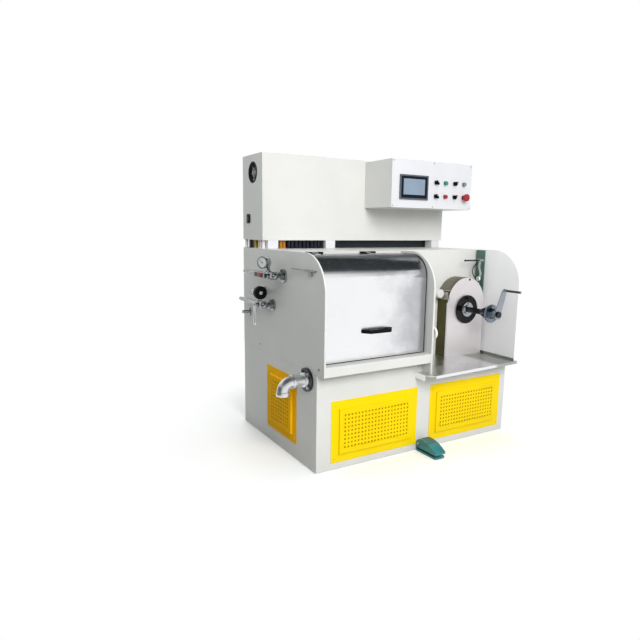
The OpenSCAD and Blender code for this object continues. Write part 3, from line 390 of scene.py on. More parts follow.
steels = {
    # Cover: nearly white, with painted shade towards the right and a painted dark reflection where it bends
    # over at the top
    "brushedStainless": dict(colour="#FCFCFE", shade="#F6F7FA", roughness=0.24, stretch=(0.02, 1, 1),
                             bump=0.008, paintedShadeSpan=(-0.12, 0.18), paintedShadeColour="#C2C3C7",
                             paintedTopShade="#5C5F60", topFrom=(0.7, 0.93)),
    # Shelf: bright, with painted shade at its right end
    "shelfStainless": dict(colour="#FBFBFC", shade="#F0F1F2", roughness=0.3, stretch=(0.03, 1, 1), bump=0.01,
                           paintedShadeSpan=(0.44, 0.5), waver=0.06, paintedShadeColour="#B2B5AF"),
    # Spindle housing: a soft, faintly pink face under a hood painted brown-grey as its shade
    "brushedHousingSteel": dict(colour="#F0EBEC", shade="#E8E3E5", roughness=0.45, stretch=(1, 1, 0.03),
                                metallic=0.6, paintedTopShade="#8E8A7C", topFrom=(0.1, 0.35)),
    # Ground bars and rods: dark, blue-grey or dull, with one long highlight
    "darkGroundSteel": dict(colour="#4C4D50", shade="#37383B", roughness=0.34, stretch=(1, 0.05, 1)),
    "flatGroundSteel": dict(colour="#AEB4BC", shade="#949BA4", roughness=0.3, stretch=(1, 1, 0.05)),
    "dullZincRod": dict(colour="#B9B6AD", shade="#A5A299", roughness=0.45, stretch=(1, 0.1, 1)),
    # Zinc-dipped drain: mottled white, with the flange painted dark for its dark reflection
    "galvanisedPipe": dict(colour="#F2F4F5", shade="#D9DCDE", roughness=0.38, stretch=(0.6, 0.6, 0.6), bump=0.1,
                           paintedShadeSpan=(-0.6136, -0.612), waver=0, paintedShadeColour="#4C5152"),
}
plated = {
    # Turned steel: small sharp reflections, bright or dark
    "turnedBrightSteel": dict(colour="#D0D3D6", shade="#BFC3C7", roughness=0.14),
    "darkTurnedSteel": dict(colour="#8A949E", shade="#6E7882", roughness=0.12),
    # Zinc: a soft pale shine
    "zincScrewPlate": dict(colour="#C9CACB", shade="#B3B5B7", roughness=0.26),
    "brightZincLever": dict(colour="#F4F7F7", shade="#E6EAEA", roughness=0.42),
    # Chrome: a hard mirror, greyer on the old pipes
    "chromePlate": dict(colour="#E2E4E6", shade="#D8DADC", roughness=0.06),
    "gaugeChrome": dict(colour="#C4C9C8", shade="#AEB5B3", roughness=0.1),
    "pipeChrome": dict(colour="#A8ACAC", shade="#8E9393", roughness=0.14),
    # Drawn copper: a warm glint on each turn
    "drawnCopper": dict(colour="#D8875A", shade="#C4734A", roughness=0.22),
}
plastics = {
    # ABS and nylon: an even colour with a soft sheen
    "blackMouldedPlastic": dict(colour="#08090A", shade="#0C0D0F", roughness=0.48, gloss=0.14),
    "greyDuctPlastic": dict(colour="#262D32", shade="#2C343A", roughness=0.5, gloss=0.3),
    "whiteNylon": dict(colour="#F0F0EC", shade="#E8E8E3", roughness=0.38),
    "redMouldedPlastic": dict(colour="#9E1122", shade="#8C0D1C", roughness=0.32),
    "greenMouldedPlastic": dict(colour="#1E9079", shade="#187F6A", roughness=0.32),
    "greyMouldedPlastic": dict(colour="#7E8483", shade="#727877", roughness=0.35),
    "darkGripPlastic": dict(colour="#3A3D40", shade="#313437", roughness=0.4),
    "fanPlastic": dict(colour="#E6E8E6", shade="#DBDEDC", roughness=0.4),
    "bezelPlastic": dict(colour="#5A5F6B", shade="#525762", roughness=0.4, gloss=0.35),
    # Rubber and vinyl: dull, with a coarser grain; so too the black strips in the cover's gaps and the brown
    # sheet behind the vent holes, both painted shade
    # Black strips in the cover's gaps: painted shade
    "gapShadeBlack": dict(colour="#1B1C1D", shade="#242526", roughness=0.6, grainMm=1.2),
    "redDippedVinyl": dict(colour="#A8242C", shade="#921D25", roughness=0.4, grainMm=2),
    # Brown sheet behind the vent holes: painted shade of the hollow seen through them
    "holeShadeBrown": dict(colour="#C08C00", shade="#AA7A00", roughness=0.8, gloss=0.05, grainMm=1.5, grain=0.25),
    # Dark glass round the screen: smooth, with a faint shine
    "screenGlass": dict(colour="#0A0F1A", shade="#0E1420", roughness=0.14, grain=0, gloss=0.12),
}
films = {
    # Film over a lit panel: blue-grey, nearly even
    "touchScreenFilm": dict(colour="#71829A", shade="#98A7B8", roughness=0.25, cloudMm=160, detail=1),
    # White enamelled dial behind glass
    "enamelDial": dict(colour="#C9CCCA", shade="#BABEBC", roughness=0.5, cloudMm=6, detail=3),
}
finishes = {}
for makeFinish, looks in ((paintFinish, paints), (brushedFinish, steels), (platedFinish, plated),
                          (plasticFinish, plastics), (filmFinish, films)):
    for finishName, look in looks.items():
        finishes[finishName] = makeFinish(finishName, look)
print("finishes made:", len(finishes))

# The CAD nodes with each finish, and by how many mm their folded or sawn edges are eased
nodesByFinish = dict(
    creamPowderCoat=dict(base_cabinet=2.5, left_side_plate=1.5, gearbox_body=2.5, divider_plate=2,
                         chamber_trough=2.5, electrical_cabinet=3, control_box=2.5),
    paintedLightInnerCoat=dict(guard_plate=1.5),
    whitePowderCoat=dict(cabinet_feet=2, control_panel=1),
    yellowPowderCoat=dict(front_left_vent=0.7, front_right_vent=0.7),
    paintedShadeYellowCoat=dict(side_vent=0.7),
    oliveMachinePaint=dict(spindle_pedestal=3),
    greenMachinePaint=dict(traverse_bracket=1.2),
    tealHammerPaint=dict(foot_switch_base=1.5, foot_pedal=3),
    blackEnamel=dict(spindle_flange=1.2),
    brushedStainless=dict(chamber_cover=0.5),
    shelfStainless=dict(takeup_shelf=0.8),
    brushedHousingSteel=dict(spindle_housing=0.6),
    darkGroundSteel=dict(die_holder=1, roof_hinges=0.4, spindle_shaft=0.8, guide_rod=0, upper_valve_lever=1.2),
    flatGroundSteel=dict(clamp_crank=1),
    dullZincRod=dict(wire_inlet_guide=1),
    galvanisedPipe=dict(drain_elbow=1.2),
    turnedBrightSteel=dict(drawing_cones=0.6, spindle_hub=1, guide_arm=0.8),
    darkTurnedSteel=dict(spool_cone=0.8),
    brightZincLever=dict(lower_valve_lever=1.2),
    chromePlate=dict(button_collars=0.8),
    gaugeChrome=dict(pressure_gauge=1),
    pipeChrome=dict(coolant_pipes=0.8),
    blackMouldedPlastic=dict(cover_handle=3, fan_housing=0.8, cabinet_lock=1.2, selector_knobs=1,
                             valve_handwheel=0),
    greyDuctPlastic=dict(cable_trunk=1),
    whiteNylon=dict(guide_wheel=0.6, guide_roller=0.6),
    redMouldedPlastic=dict(red_button=1.5, emergency_stop=3),
    greenMouldedPlastic=dict(green_button=1.5),
    greyMouldedPlastic=dict(grey_button=1.5),
    fanPlastic=dict(fan_rotor=0.5),
    bezelPlastic=dict(screen_frame=1.5),
    screenGlass=dict(touch_screen=0.5))
easing = dict(weldMm=0.01, segments=2, fromDegrees=42)


def dressNode(node, finish, edge):
    node.data.materials.clear()
    node.data.materials.append(finishes[finish])
    for polygon in node.data.polygons:
        polygon.material_index = 0
    weld = node.modifiers.new("weld", "WELD")
    weld.merge_threshold = easing["weldMm"] / 1000
    if edge:
        ease = node.modifiers.new("easedEdges", "BEVEL")
        ease.width = edge / 1000
        ease.segments = easing["segments"]
        ease.limit_method = "ANGLE"
        ease.angle_limit = math.radians(easing["fromDegrees"])
        ease.harden_normals = True
        ease.use_clamp_overlap = True


for finish, edges in nodesByFinish.items():
    for nodeName, edge in edges.items():
        dressNode(nodes[nodeName], finish, edge)
print("CAD nodes dressed")


def skin(mesh, rings, closed=False, caps=False):
    # Joins rings of vertices one after another; a ring may be a single point
    for one, two in zip(rings, rings[1:] + rings[:closed]):
        count = max(len(one), len(two))
        for i in range(count):
            j = (i + 1) % count
            corners = one[i % len(one)], one[j % len(one)], two[j % len(two)], two[i % len(two)]
            mesh.faces.new(tuple(dict.fromkeys(corners)))
    if caps:
        mesh.faces.new(rings[0][::-1])
        mesh.faces.new(rings[-1])


def aimed(at, facing, spin=0):
    turn = facing.to_track_quat("Z", "Y").to_matrix().to_4x4()
    return Matrix.Translation(at) @ turn @ Matrix.Rotation(math.radians(spin), 4, "Z")


def turned(mesh, at, facing, profile, steps=40, closed=False):
    # profile: (radius, height along facing) pairs
    grid = aimed(Vector(at), facing)
    rings = []
    for radius, height in profile:
        angles = [math.tau * i / steps for i in range(steps)] if radius else [0]
        rings.append([mesh.verts.new(grid @ Vector((radius * math.cos(a), radius * math.sin(a), height)))
                      for a in angles])
    skin(mesh, rings, closed)


def slab(mesh, at, facing, outline, depth, spin=0):
    grid = aimed(Vector(at), facing, spin)
    rings = [[mesh.verts.new(grid @ Vector((u, v, height))) for u, v in outline] for height in (0, depth)]
    skin(mesh, rings, caps=True)


def block(mesh, low, high):
    outline = (low[0], low[1]), (high[0], low[1]), (high[0], high[1]), (low[0], high[1])
    skin(mesh, [[mesh.verts.new((x, y, z)) for x, y in outline] for z in (low[2], high[2])], caps=True)


def tube(mesh, points, radius, sides=10, closed=False):
    points = [Vector(p) for p in points]
    count = len(points)
    rings = []
    lastSide = None
    for i, point in enumerate(points):
        ahead = points[(i + 1) % count] if closed or i < count - 1 else point
        behind = points[i - 1] if closed or i > 0 else point
        along = (ahead - behind).normalized()
        side = lastSide or (up.cross(along) if abs(along.z) < 0.95 else right.cross(along))
        side = (side - along * side.dot(along)).normalized()
        lastSide = side
        other = along.cross(side)
        rings.append([mesh.verts.new(point + (side * math.cos(a) + other * math.sin(a)) * radius)
                      for a in (math.tau * k / sides for k in range(sides))])
    skin(mesh, rings, closed, caps=not closed)


def arc(centre, radius, start, end, steps):
    angles = [math.radians(start + (end - start) * i / steps) for i in range(steps + 1)]
    return [(centre[0] + radius * math.cos(a), centre[1] + radius * math.sin(a)) for a in angles]


def circle(centre, radius, count, first=0):
    return arc(centre, radius, first, first + 360, count)[:-1]


def roundedOutline(width, height, corner, steps=5):
    w, h = width / 2 - corner, height / 2 - corner
    return (arc((w, h), corner, 0, 90, steps) + arc((-w, h), corner, 90, 180, steps)
            + arc((-w, -h), corner, 180, 270, steps) + arc((w, -h), corner, 270, 360, steps))


def smoothPath(points, steps=6):
    # Catmull-Rom curve through the points
    points = [Vector(p) for p in points]
    path = []
    for a, b, c, d in zip(points[:1] + points, points, points[1:], points[2:] + points[-1:]):
        for t in (i / steps for i in range(steps)):
            path.append((b * 2 + (c - a) * t + (a * 2 - b * 5 + c * 4 - d) * t * t
                         + (b * 3 - a - c * 3 + d) * t ** 3) / 2)
    return path + [points[-1]]


def buttonScrew(mesh, at, facing, radius, height):
    # A button-head socket screw: a low dome with a sunk socket
    socket = radius * 0.45
    turned(mesh, at, facing, [
        (radius, 0), (radius, height * 0.2), (radius * 0.88, height * 0.65), (radius * 0.62, height),
        (socket, height), (socket * 0.92, height * 0.25), (0, height * 0.2)], steps=18)


def hexNut(mesh, at, facing, acrossFlats, height, spin=0):
    slab(mesh, at, facing, circle((0, 0), acrossFlats / math.sqrt(3), 6), height, spin)


def hexBolt(mesh, at, facing, acrossFlats, height, spin=0):
    # A washer, the hexagon and its low crown
    radius = acrossFlats / 2
    turned(mesh, at, facing, [(radius * 1.25, 0), (radius * 1.25, 1.2), (0, 1.2)], steps=24)
    hexNut(mesh, Vector(at) + facing * 1.1, facing, acrossFlats, height, spin)
    crown = [(radius * 0.92, 0), (radius * 0.8, 0.8), (0, 0.9)]
    turned(mesh, Vector(at) + facing * (height + 1), facing, crown, steps=24)


# Edges of a piece: bevelled from one angle up, shaded smooth below the other
pieceEdges = dict(bevelFrom=40, smoothBelow=35, segments=2, profile=0.6)


def piece(name, body, finish, build, edge=0):
    mesh = bmesh.new()
    build(mesh)
    bmesh.ops.recalc_face_normals(mesh, faces=mesh.faces[:])
    if edge:
        limit = math.radians(pieceEdges["bevelFrom"])
        sharp = [e for e in mesh.edges if len(e.link_faces) == 2 and e.calc_face_angle(0) > limit]
        bmesh.ops.bevel(mesh, geom=sharp, offset=edge, segments=pieceEdges["segments"],
                        profile=pieceEdges["profile"], affect="EDGES", clamp_overlap=True)
    for face in mesh.faces:
        face.smooth = True
    limit = math.radians(pieceEdges["smoothBelow"])
    for e in mesh.edges:
        e.smooth = len(e.link_faces) == 2 and e.calc_face_angle(0) < limit
    mesh.transform(toFrame)
    data = bpy.data.meshes.new(name)
    mesh.to_mesh(data)
    mesh.free()
    data.materials.append(finishes[finish])
    made = bpy.data.objects.new(name, data)
    bpy.context.scene.collection.objects.link(made)
    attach(made, body)


# Screws here and below are (radius, height of the head)
vent = dict(screwInset=20, rimProud=2, screw=(5, 2.5), shadeSheetInset=43, shadeSheetNear=-8, shadeSheetFar=4)
frontVents = "front_left_vent", "front_right_vent"


def ventScrews(mesh):
    inset, proud = vent["screwInset"], vent["rimProud"]
    for node in frontVents:
        low, high = span(node)
        for x in (low.x + inset, high.x - inset):
            for z in (low.z + inset, high.z - inset):
                buttonScrew(mesh, (x, -proud, z), front, *vent["screw"])
    low, high = span("side_vent")
    for y in (low.y + inset, high.y - inset):
        for z in (low.z + inset, high.z - inset):
            buttonScrew(mesh, (-proud, y, z), left, *vent["screw"])


def ventHoleShade(mesh):
    # Painted shade: a brown sheet close behind the perforated sheet, inside the raised tray, coloured for the
    # shaded hollow seen through the holes
    inset, near, far = vent["shadeSheetInset"], vent["shadeSheetNear"], vent["shadeSheetFar"]
    for node in frontVents:
        low, high = span(node)
        block(mesh, (low.x + inset, near, low.z + inset), (high.x - inset, far, high.z - inset))
    low, high = span("side_vent")
    block(mesh, (near, low.y + inset, low.z + inset), (far, high.y - inset, high.z - inset))


piece("vent_screws", "machine", "yellowPowderCoat", ventScrews)
piece("vent_hole_shade", "machine", "holeShadeBrown", ventHoleShade, edge=1)
print("base finished")

panel = dict(screw=(3.5, 1.8), screwInset=9)
display = dict(side=16, low=17, high=13, corner=2, behind=0.2, thick=0.8)
# Places of the knobs' middles from the node's sides and ends, and the white mark on each
knob = dict(fromSide=10.5, fromEnd=12.4, leans=(-30, 35), markUp=7, mark=(2.2, 8, 1), markBehind=0.1,
            markThick=0.6)


def panelScrews(mesh):
    low, high = span("control_panel")
    inset = panel["screwInset"]
    for x in (low.x + inset, (low.x + high.x) / 2, high.x - inset):
        for z in (low.z + inset, high.z - inset):
            buttonScrew(mesh, (x, low.y, z), front, *panel["screw"])


def displayFilm(mesh):
    low, high = span("touch_screen")
    wide = high.x - low.x - 2 * display["side"]
    tall = high.z - low.z - display["low"] - display["high"]
    centre = ((low.x + high.x) / 2, low.y + display["behind"],
              (low.z + display["low"] + high.z - display["high"]) / 2)
    slab(mesh, centre, front, roundedOutline(wide, tall, display["corner"], 3), display["thick"])


def knobMarks(mesh):
    low, high = span("selector_knobs")
    outline = roundedOutline(*knob["mark"], 2)
    for x, lean in zip((low.x + knob["fromSide"], high.x - knob["fromSide"]), knob["leans"]):
        for z in (low.z + knob["fromEnd"], high.z - knob["fromEnd"]):
            place = Matrix.Translation((x, low.y + knob["markBehind"], z))
            grid = place @ Matrix.Rotation(math.radians(lean), 4, "Y")
            slab(mesh, grid @ Vector((0, 0, knob["markUp"])), front, outline, knob["markThick"], spin=-lean)


piece("panel_screws", "machine", "zincScrewPlate", panelScrews)
piece("display_film", "machine", "touchScreenFilm", displayFilm)
piece("knob_marks", "machine", "whiteNylon", knobMarks)
print("control box finished")

fan = dict(rings=(13, 24, 35, 46), ringSteps=48, wire=1.0, spokes=4, spokeEnds=(10, 52), spokeWire=1.3,
           spokeBehind=1.5, capRadius=24)
lock = dict(paddle=(18, 34, 5), paddleBack=6, paddleThick=2.5, keyFront=12, keyRadius=6)
# Short rigid conduits between the machine and the cabinet, with a collar at each end
conduit = dict(foot=988, height=43, collar=1.5, collarHeight=5, chamfer=1)
# Slot, finish and the (x, y, radius) of each conduit
conduits = dict(
    yellow_conduit=("yellow_paint", "yellowCableJacket", [(22, 696, 7)]),
    white_conduits=("white_plastic", "whiteCableJacket", [
        (10, 790, 8), (23, 652, 8), (19, 620, 9), (18, 592, 9)]),
    orange_conduits=("red_plastic", "orangeCableJacket", [(121, 600, 9), (141, 603, 9)]),
    black_conduits=("black_plastic", "blackCableJacket", [
        (14, 738, 8), (166, 598, 9), (212, 600, 10), (260, 600, 9), (308, 600, 10), (351, 598, 9),
        (366, 586, 6)]),
    blue_conduits=("black_plastic", "blueCableJacket", [
        (189, 602, 10), (236, 603, 10), (284, 604, 10), (332, 603, 10)]))


def fanGuard(mesh):
    at = middle("fan_housing")
    x = span("fan_housing")[0].x + fan["wire"]
    for radius in fan["rings"]:
        ring = [(x, y, z) for y, z in circle((at.y, at.z), radius, fan["ringSteps"])]
        tube(mesh, ring, fan["wire"], sides=8, closed=True)
    for i in range(fan["spokes"]):
        a = math.tau * (i + 0.5) / fan["spokes"]
        ends = [(at.y + r * math.cos(a), at.z + r * math.sin(a)) for r in fan["spokeEnds"]]
        tube(mesh, [(x + fan["spokeBehind"], y, z) for y, z in ends], fan["spokeWire"], sides=8)


def fanCap(mesh):
    at = middle("fan_housing")
    at.x = span("fan_rotor")[0].x
    radius = fan["capRadius"]
    turned(mesh, at, left, [(radius, 0), (radius, 0.6), (radius - 1.5, 1.2), (0, 1.4)])


def lockPaddle(mesh):
    at = middle("cabinet_lock")
    at.x = span("cabinet_lock")[0].x
    slab(mesh, at + back * lock["paddleBack"], left, roundedOutline(*lock["paddle"]), lock["paddleThick"])


def lockKey(mesh):
    at = middle("cabinet_lock")
    at.x = span("cabinet_lock")[0].x
    radius = lock["keyRadius"]
    turned(mesh, at + front * lock["keyFront"], left,
           [(radius, 0), (radius, 2), (radius - 1, 2.6), (2, 2.6), (1.8, 1.2), (0, 1.2)], steps=24)


def conduitRun(mesh, places):
    high, ring, chamfer = conduit["height"], conduit["collarHeight"], conduit["chamfer"]
    for x, y, radius in places:
        wide = radius + conduit["collar"]
        turned(mesh, (x, y, conduit["foot"]), up, [
            (wide, 0), (wide, ring), (radius, ring + chamfer), (radius, high - ring - chamfer),
            (wide, high - ring), (wide, high)], steps=24)


piece("fan_guard", "machine", "blackEnamel", fanGuard)
piece("fan_hub_cap", "fan", "fanPlastic", fanCap)
piece("lock_paddle", "machine", "blackEnamel", lockPaddle, edge=0.8)
piece("lock_cylinder", "machine", "blackEnamel", lockKey)
for name, (slotName, finish, places) in conduits.items():
    piece(name, "machine", finish, lambda m: conduitRun(m, places))
print("cabinet finished")

# Painted shade: black strips along the cover's bottom edge and round its right end stand for the dark gaps
# there; sizes in y and z over the cover's profile
gapShadeStrip = dict(thick=0.9, width=4, lap=0.4, sunk=0.6, lowEnd=504.5, bendY=93, bendZ=871, radius=105, rearEnd=170,
            bottomInset=1, bottomGap=1.2, bottomLow=0.5, bottomHigh=4, bottomDeep=3)
leaf = dict(x=(92, 392), y=168, top=979, spread=9, screw=(3.2, 1.2))


def coverGapShades(mesh):
    low, high = span("chamber_cover")
    thick, inner, outer = gapShadeStrip["thick"], high.x - gapShadeStrip["width"], high.x + gapShadeStrip["lap"]
    block(mesh, (low.x + gapShadeStrip["bottomInset"], low.y - thick, low.z + gapShadeStrip["bottomLow"]),
          (inner - gapShadeStrip["bottomGap"], low.y + gapShadeStrip["bottomDeep"], low.z + gapShadeStrip["bottomHigh"]))
    # Stops of the end strip: y, z and the way that it faces there, in degrees
    y, z, radius = gapShadeStrip["bendY"], gapShadeStrip["bendZ"], gapShadeStrip["radius"]
    bend = zip(arc((y, z), radius, 171, 90, 9), range(171, 89, -9))
    stops = [(y - radius, gapShadeStrip["lowEnd"], 180), (y - radius, z, 180)]
    stops += [(*at, turn) for at, turn in bend] + [(gapShadeStrip["rearEnd"], z + radius, 90)]
    rings = []
    for y, z, turn in stops:
        out = Vector((0, math.cos(math.radians(turn)), math.sin(math.radians(turn))))
        near, far = Vector((0, y, z)) - out * gapShadeStrip["sunk"], Vector((0, y, z)) + out * thick
        rings.append([mesh.verts.new(p + right * x) for x, p in (
            (inner, near), (outer, near), (outer, far), (inner, far))])
    skin(mesh, rings, caps=True)


def leafScrews(mesh):
    for x in leaf["x"]:
        for side in (-leaf["spread"], leaf["spread"]):
            buttonScrew(mesh, (x + side, leaf["y"], leaf["top"]), up, *leaf["screw"])


piece("hinge_leaf_screws", "cover", "darkGroundSteel", leafScrews)
piece("cover_gap_shades", "cover", "gapShadeBlack", coverGapShades)
print("cover finished")

# The spindle's axis, the housing's face and what is fixed to them
takeUp = dict(x=1043, z=665, face=165, plateScrew=(1063, 827), screw=(6, 3), clip=(913, 727), clipWire=2,
              webX=912, webY=(170, 250), webZ=(722, 764), webCut=6, webThick=1.5,
              hubScrews=3, hubScrewAt=33, hubScrew=(4, 2.5), discFace=148, wheelBolt=(13, 5), wheelBoltOut=5)
crank = dict(length=130, lean=19, gripRadius=5.5, gripLength=90, gripFrom=7.4, armFace=-65)
rod = dict(y=191, z=930, bore=6.1, collars=(1149.5, 1167.5), collarRadius=9, collarLength=9,
           springFrom=1177.5, springLength=6, springTurns=5, springSteps=20, springRadius=7.3, springWire=0.8)
eyeWire = dict(radius=2.6, points=[(1163, 191, 930), (1160, 203, 922), (1153, 217, 905), (1146, 226, 882),
                                    (1144, 227, 860), (1148, 219, 840), (1156, 204, 826), (1163, 194, 822)])


def housingScrew(mesh):
    x, z = takeUp["plateScrew"]
    buttonScrew(mesh, (x, takeUp["face"], z), front, *takeUp["screw"])


def housingClip(mesh):
    x, z = takeUp["clip"]
    y = takeUp["face"]
    bow = [(x, y - 3, z + 12), (x - 1, y - 7, z + 8), (x + 1, y - 9, z), (x - 1, y - 7, z - 8),
           (x, y - 3, z - 12)]
    tube(mesh, bow, takeUp["clipWire"])
    turned(mesh, (x + 2, y, z), front, [(5, 0), (5, 3), (4, 3.5), (0, 3.5)], steps=20)


def housingWeb(mesh):
    # Small plate that closes the side of the hood under its left edge
    (near, far), (low, high), cut, thick = (takeUp[k] for k in ("webY", "webZ", "webCut", "webThick"))
    outline = [(near, low + cut), (near + cut, low), (far, low), (far, high), (near, high)]
    slab(mesh, (takeUp["webX"] + thick, 0, 0), left, [(-y, z) for y, z in outline], thick)


def hubScrews(mesh):
    for x, z in circle((takeUp["x"], takeUp["z"]), takeUp["hubScrewAt"], takeUp["hubScrews"], 90):
        buttonScrew(mesh, (x, takeUp["discFace"], z), front, *takeUp["hubScrew"])


def shaftNut(mesh):
    turned(mesh, (takeUp["x"], crank["armFace"], takeUp["z"]), front,
           [(16.4, 0.2), (16.4, 6.5), (15, 7.9), (6, 7.9), (5.4, 6.8), (0, 6.8)], steps=48)


def gripSleeve(mesh):
    # A thin grip that turns on its pin, with a ring at each end
    a, length = math.radians(crank["lean"]), crank["length"]
    x, z = takeUp["x"] + length * math.sin(a), takeUp["z"] + length * math.cos(a)
    r, far = crank["gripRadius"], crank["gripLength"]
    turned(mesh, (x, crank["armFace"] - crank["gripFrom"], z), front, [
        (r + 0.1, 0), (r + 1.3, 0.6), (r + 1.3, 3), (r + 0.5, 4), (r + 0.4, far / 2), (r + 0.5, far - 6),
        (r + 1.2, far - 5), (r + 1.2, far - 2), (r, far - 0.2), (0, far)], steps=32)


def wheelBolt(mesh):
    at = middle("guide_wheel")
    at.x = span("guide_wheel")[1].x + takeUp["wheelBoltOut"]
    hexBolt(mesh, at, right, *takeUp["wheelBolt"])


def rodCollars(mesh):
    bore, radius, length = rod["bore"], rod["collarRadius"], rod["collarLength"]
    for x in rod["collars"]:
        turned(mesh, (x, rod["y"], rod["z"]), right,
               [(bore, 0), (radius, 0), (radius, length), (bore, length)], steps=36, closed=True)


def rodSpring(mesh):
    count = rod["springTurns"] * rod["springSteps"]
    coil = arc((rod["y"], rod["z"]), rod["springRadius"], 0, 360 * rod["springTurns"], count)
    points = [(rod["springFrom"] + rod["springLength"] * i / count, y, z) for i, (y, z) in enumerate(coil)]
    tube(mesh, points, rod["springWire"], sides=6)


piece("housing_screw", "machine", "darkGroundSteel", housingScrew)
piece("housing_clip", "machine", "chromePlate", housingClip)
piece("housing_web", "machine", "dullZincRod", housingWeb)
piece("hub_screws", "spindle", "darkGroundSteel", hubScrews)
piece("shaft_nut", "spindle", "blackEnamel", shaftNut)
piece("grip_sleeve", "crank", "darkGripPlastic", gripSleeve)
piece("wheel_bolt", "machine", "zincScrewPlate", wheelBolt)
piece("rod_collars", "machine", "turnedBrightSteel", rodCollars)
piece("rod_spring", "machine", "zincScrewPlate", rodSpring)
piece("traverse_loop", "traverse_arm", "darkGroundSteel",
      lambda m: tube(m, smoothPath(eyeWire["points"]), eyeWire["radius"]))
print("take-up finished")

# Angles in degrees; a tick is (length, half its width)
gauge = dict(stem=(-45, 400), z=931, turn=60, reach=50, radius=28, ticks=21, tickFrom=225, tickSweep=270,
             longTick=(5, 0.5), shortTick=(3, 0.3), needle=52)
# Nuts and bolts are (across flats, height)
pipes = dict(x=-45, valves=((362, 869), (485, 716)), valveNut=(37, 14), valveNutAt=24, stemX=-60,
             stemNut=(22, 8), flanges=((322, 869, 33), (440, 716, 29)), flangeX=-14, flangeNut=(38, 9),
             screws=4, screwX=-9, screwInset=8, screw=(3.6, 2.4), tee=(400, 884), teeNut=(21, 9))
handwheel = dict(x=-51, z=774, bodyY=518, bodyNut=(36, 10), nutY=474.4, nut=(17, 4.5), capY=470.1)
lever = dict(upperX=-84.2, lowerX=-82.6, nut=(13, 3.6))
upperGrip = dict(near=34, far=82, outline=(9.6, 22.4, 4.4))
drain = dict(x=-12, centre=(85, 420), bolts=4, boltCircle=43, bolt=(13, 6), turn=20)
sidePlate = dict(boltAt=(0, -16, 486), bolt=(10, 4), screwAt=(0, 600, 486), screw=(5, 3))


def gaugePlace(out=0):
    # A point on the dial's axis, so many mm out of the dial, and the way that the dial faces: front left
    a = math.radians(gauge["turn"])
    facing = Vector((-math.sin(a), -math.cos(a), 0))
    return Vector((*gauge["stem"], gauge["z"])) + facing * (gauge["reach"] + out), facing


def gaugeBezel(mesh):
    r = gauge["radius"]
    turned(mesh, *gaugePlace(-5),
           [(r, 0), (r + 1, 1), (r + 1, 5.5), (r - 0.5, 7.2), (r - 2.5, 7.2), (r - 4, 5.4)], steps=64)


def gaugeDial(mesh):
    r = gauge["radius"] - 3
    turned(mesh, *gaugePlace(0.1), [(r, 0), (r, 0.4), (0, 0.4)], steps=56)


def gaugeTicks(mesh):
    grid = aimed(*gaugePlace(0.6))
    outer = gauge["radius"] - 5
    for i in range(gauge["ticks"]):
        a = math.radians(gauge["tickFrom"] - gauge["tickSweep"] * i / (gauge["ticks"] - 1))
        length, half = gauge["shortTick"] if i % 5 else gauge["longTick"]
        along, side = Vector((math.cos(a), math.sin(a), 0)), Vector((-math.sin(a), math.cos(a), 0)) * half
        one, two = along * (outer - length), along * outer
        mesh.faces.new([mesh.verts.new(grid @ p) for p in (one - side, two - side, two + side, one + side)])


def gaugeNeedle(mesh):
    tip = gauge["radius"] - 8
    slab(mesh, *gaugePlace(0.8), [(-1.1, -6), (1.1, -6), (0.4, tip), (-0.4, tip)], 0.5, spin=gauge["needle"])
    turned(mesh, *gaugePlace(0.7), [(2.6, 0), (2.6, 1.4), (0, 1.6)], steps=20)


def pipeNuts(mesh):
    x = pipes["x"]
    for y, z in pipes["valves"]:
        for side in (-1, 1):
            nutY = y + side * pipes["valveNutAt"] - pipes["valveNut"][1] / 2
            hexNut(mesh, (x, nutY, z), back, *pipes["valveNut"])
        hexNut(mesh, (pipes["stemX"], y, z), left, *pipes["stemNut"])
    for y, z, radius in pipes["flanges"]:
        for screwY, screwZ in circle((y, z), radius - pipes["screwInset"], pipes["screws"], 45):
            buttonScrew(mesh, (pipes["screwX"], screwY, screwZ), left, *pipes["screw"])
        hexNut(mesh, (pipes["flangeX"], y, z), left, *pipes["flangeNut"])
    hexNut(mesh, (handwheel["x"], handwheel["bodyY"], handwheel["z"]), back, *handwheel["bodyNut"])
    hexNut(mesh, (x, *pipes["tee"]), up, *pipes["teeNut"])


def upperGripSleeve(mesh):
    # Dipped vinyl over the middle of the lever, the bare bar showing at both ends
    at = middle("upper_valve_lever")
    at.y = pipes["valves"][0][0] + upperGrip["near"]
    slab(mesh, at, back, roundedOutline(*upperGrip["outline"]), upperGrip["far"] - upperGrip["near"])


def handwheelNut(mesh):
    x, z = handwheel["x"], handwheel["z"]
    hexNut(mesh, (x, handwheel["nutY"], z), front, *handwheel["nut"])
    turned(mesh, (x, handwheel["capY"], z), front, [(7, 0), (6, 2), (0, 2.2)], steps=24)


def flangeBolts(mesh):
    for i, (y, z) in enumerate(circle(drain["centre"], drain["boltCircle"], drain["bolts"], 45)):
        hexBolt(mesh, (drain["x"], y, z), left, *drain["bolt"], spin=drain["turn"] * i)


def plateBolts(mesh):
    hexBolt(mesh, sidePlate["boltAt"], left, *sidePlate["bolt"])
    buttonScrew(mesh, sidePlate["screwAt"], left, *sidePlate["screw"])


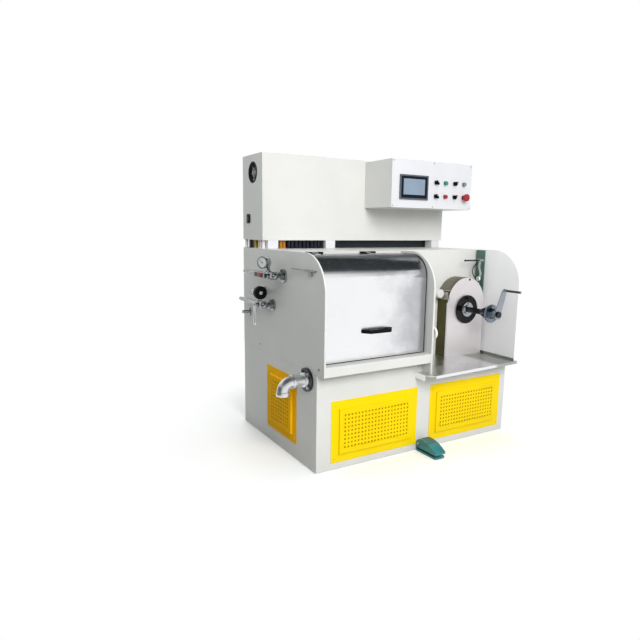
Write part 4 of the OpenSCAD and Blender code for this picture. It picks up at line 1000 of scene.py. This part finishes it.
piece("gauge_bezel", "machine", "darkTurnedSteel", gaugeBezel)
piece("gauge_dial", "machine", "enamelDial", gaugeDial)
piece("gauge_ticks", "machine", "blackMouldedPlastic", gaugeTicks)
piece("gauge_needle", "machine", "blackMouldedPlastic", gaugeNeedle)
piece("pipe_nuts", "machine", "pipeChrome", pipeNuts, edge=0.8)
piece("upper_lever_nut", "upper_lever", "zincScrewPlate",
      lambda m: hexNut(m, (lever["upperX"], *pipes["valves"][0]), left, *lever["nut"]), edge=0.5)
piece("upper_lever_grip", "upper_lever", "redDippedVinyl", upperGripSleeve, edge=1)
piece("lower_lever_nut", "lower_lever", "zincScrewPlate",
      lambda m: hexNut(m, (lever["lowerX"], *pipes["valves"][1]), left, *lever["nut"]), edge=0.5)
piece("handwheel_nut", "handwheel", "chromePlate", handwheelNut, edge=0.4)
piece("drain_flange_bolts", "machine", "zincScrewPlate", flangeBolts)
piece("side_plate_bolts", "machine", "zincScrewPlate", plateBolts)
print("pipework finished")

wire = dict(radius=0.6, centres=(450, 160), z=699, firstY=244, bigRadius=88, smallRadius=40, lift=0.8, steps=6,
            stepWidth=19)


def drawnWire(mesh):
    # Copper wire in loops round the two stepped cones
    fall = (wire["bigRadius"] - wire["smallRadius"]) / (wire["steps"] - 1)
    for i in range(wire["steps"]):
        radius = wire["bigRadius"] - fall * i + wire["lift"]
        y = wire["firstY"] - wire["stepWidth"] * i
        loop = [(x, y, z) for middleX, turn in zip(wire["centres"], (90, 270))
                for x, z in arc((middleX, wire["z"]), radius, turn, turn - 180, 18)]
        tube(mesh, loop, wire["radius"], sides=6, closed=True)


piece("drawn_wire", "machine", "drawnCopper", drawnWire)
print("drawing chamber finished")

# The tread is flat back to the crown and then curves down to the toe
pedal = dict(ribs=7, firstRib=-34, ribPitch=9, ribOutline=(46, 4, 1.8), ribThick=1.8, ribSunk=0.6,
             crown=-42, toe=31, length=148, pinY=-18, pinZ=40)


def treadRibs(mesh):
    low, high = span("foot_pedal")
    run = pedal["length"] + pedal["crown"]
    drop = high.z - pedal["toe"]
    for i in range(pedal["ribs"]):
        y = pedal["firstRib"] - i * pedal["ribPitch"]
        t = max(0, (pedal["crown"] - y) / run)
        slope = math.atan2(2 * drop * t, run)
        tilt = Vector((0, -math.sin(slope), math.cos(slope)))
        at = ((low.x + high.x) / 2, y, high.z - drop * t * t - pedal["ribSunk"])
        slab(mesh, at, tilt, roundedOutline(*pedal["ribOutline"], 3), pedal["ribThick"])


def pinCaps(mesh):
    low, high = span("foot_pedal")
    for x, facing in ((low.x, left), (high.x, right)):
        turned(mesh, (x, pedal["pinY"], pedal["pinZ"]), facing,
               [(6, -0.5), (6, 0.8), (5, 1.6), (0, 1.8)], steps=24)


piece("tread_ribs", "pedal", "oliveTreadPaint", treadRibs)
piece("pedal_pin_caps", "pedal", "zincScrewPlate", pinCaps)
print("foot switch finished")
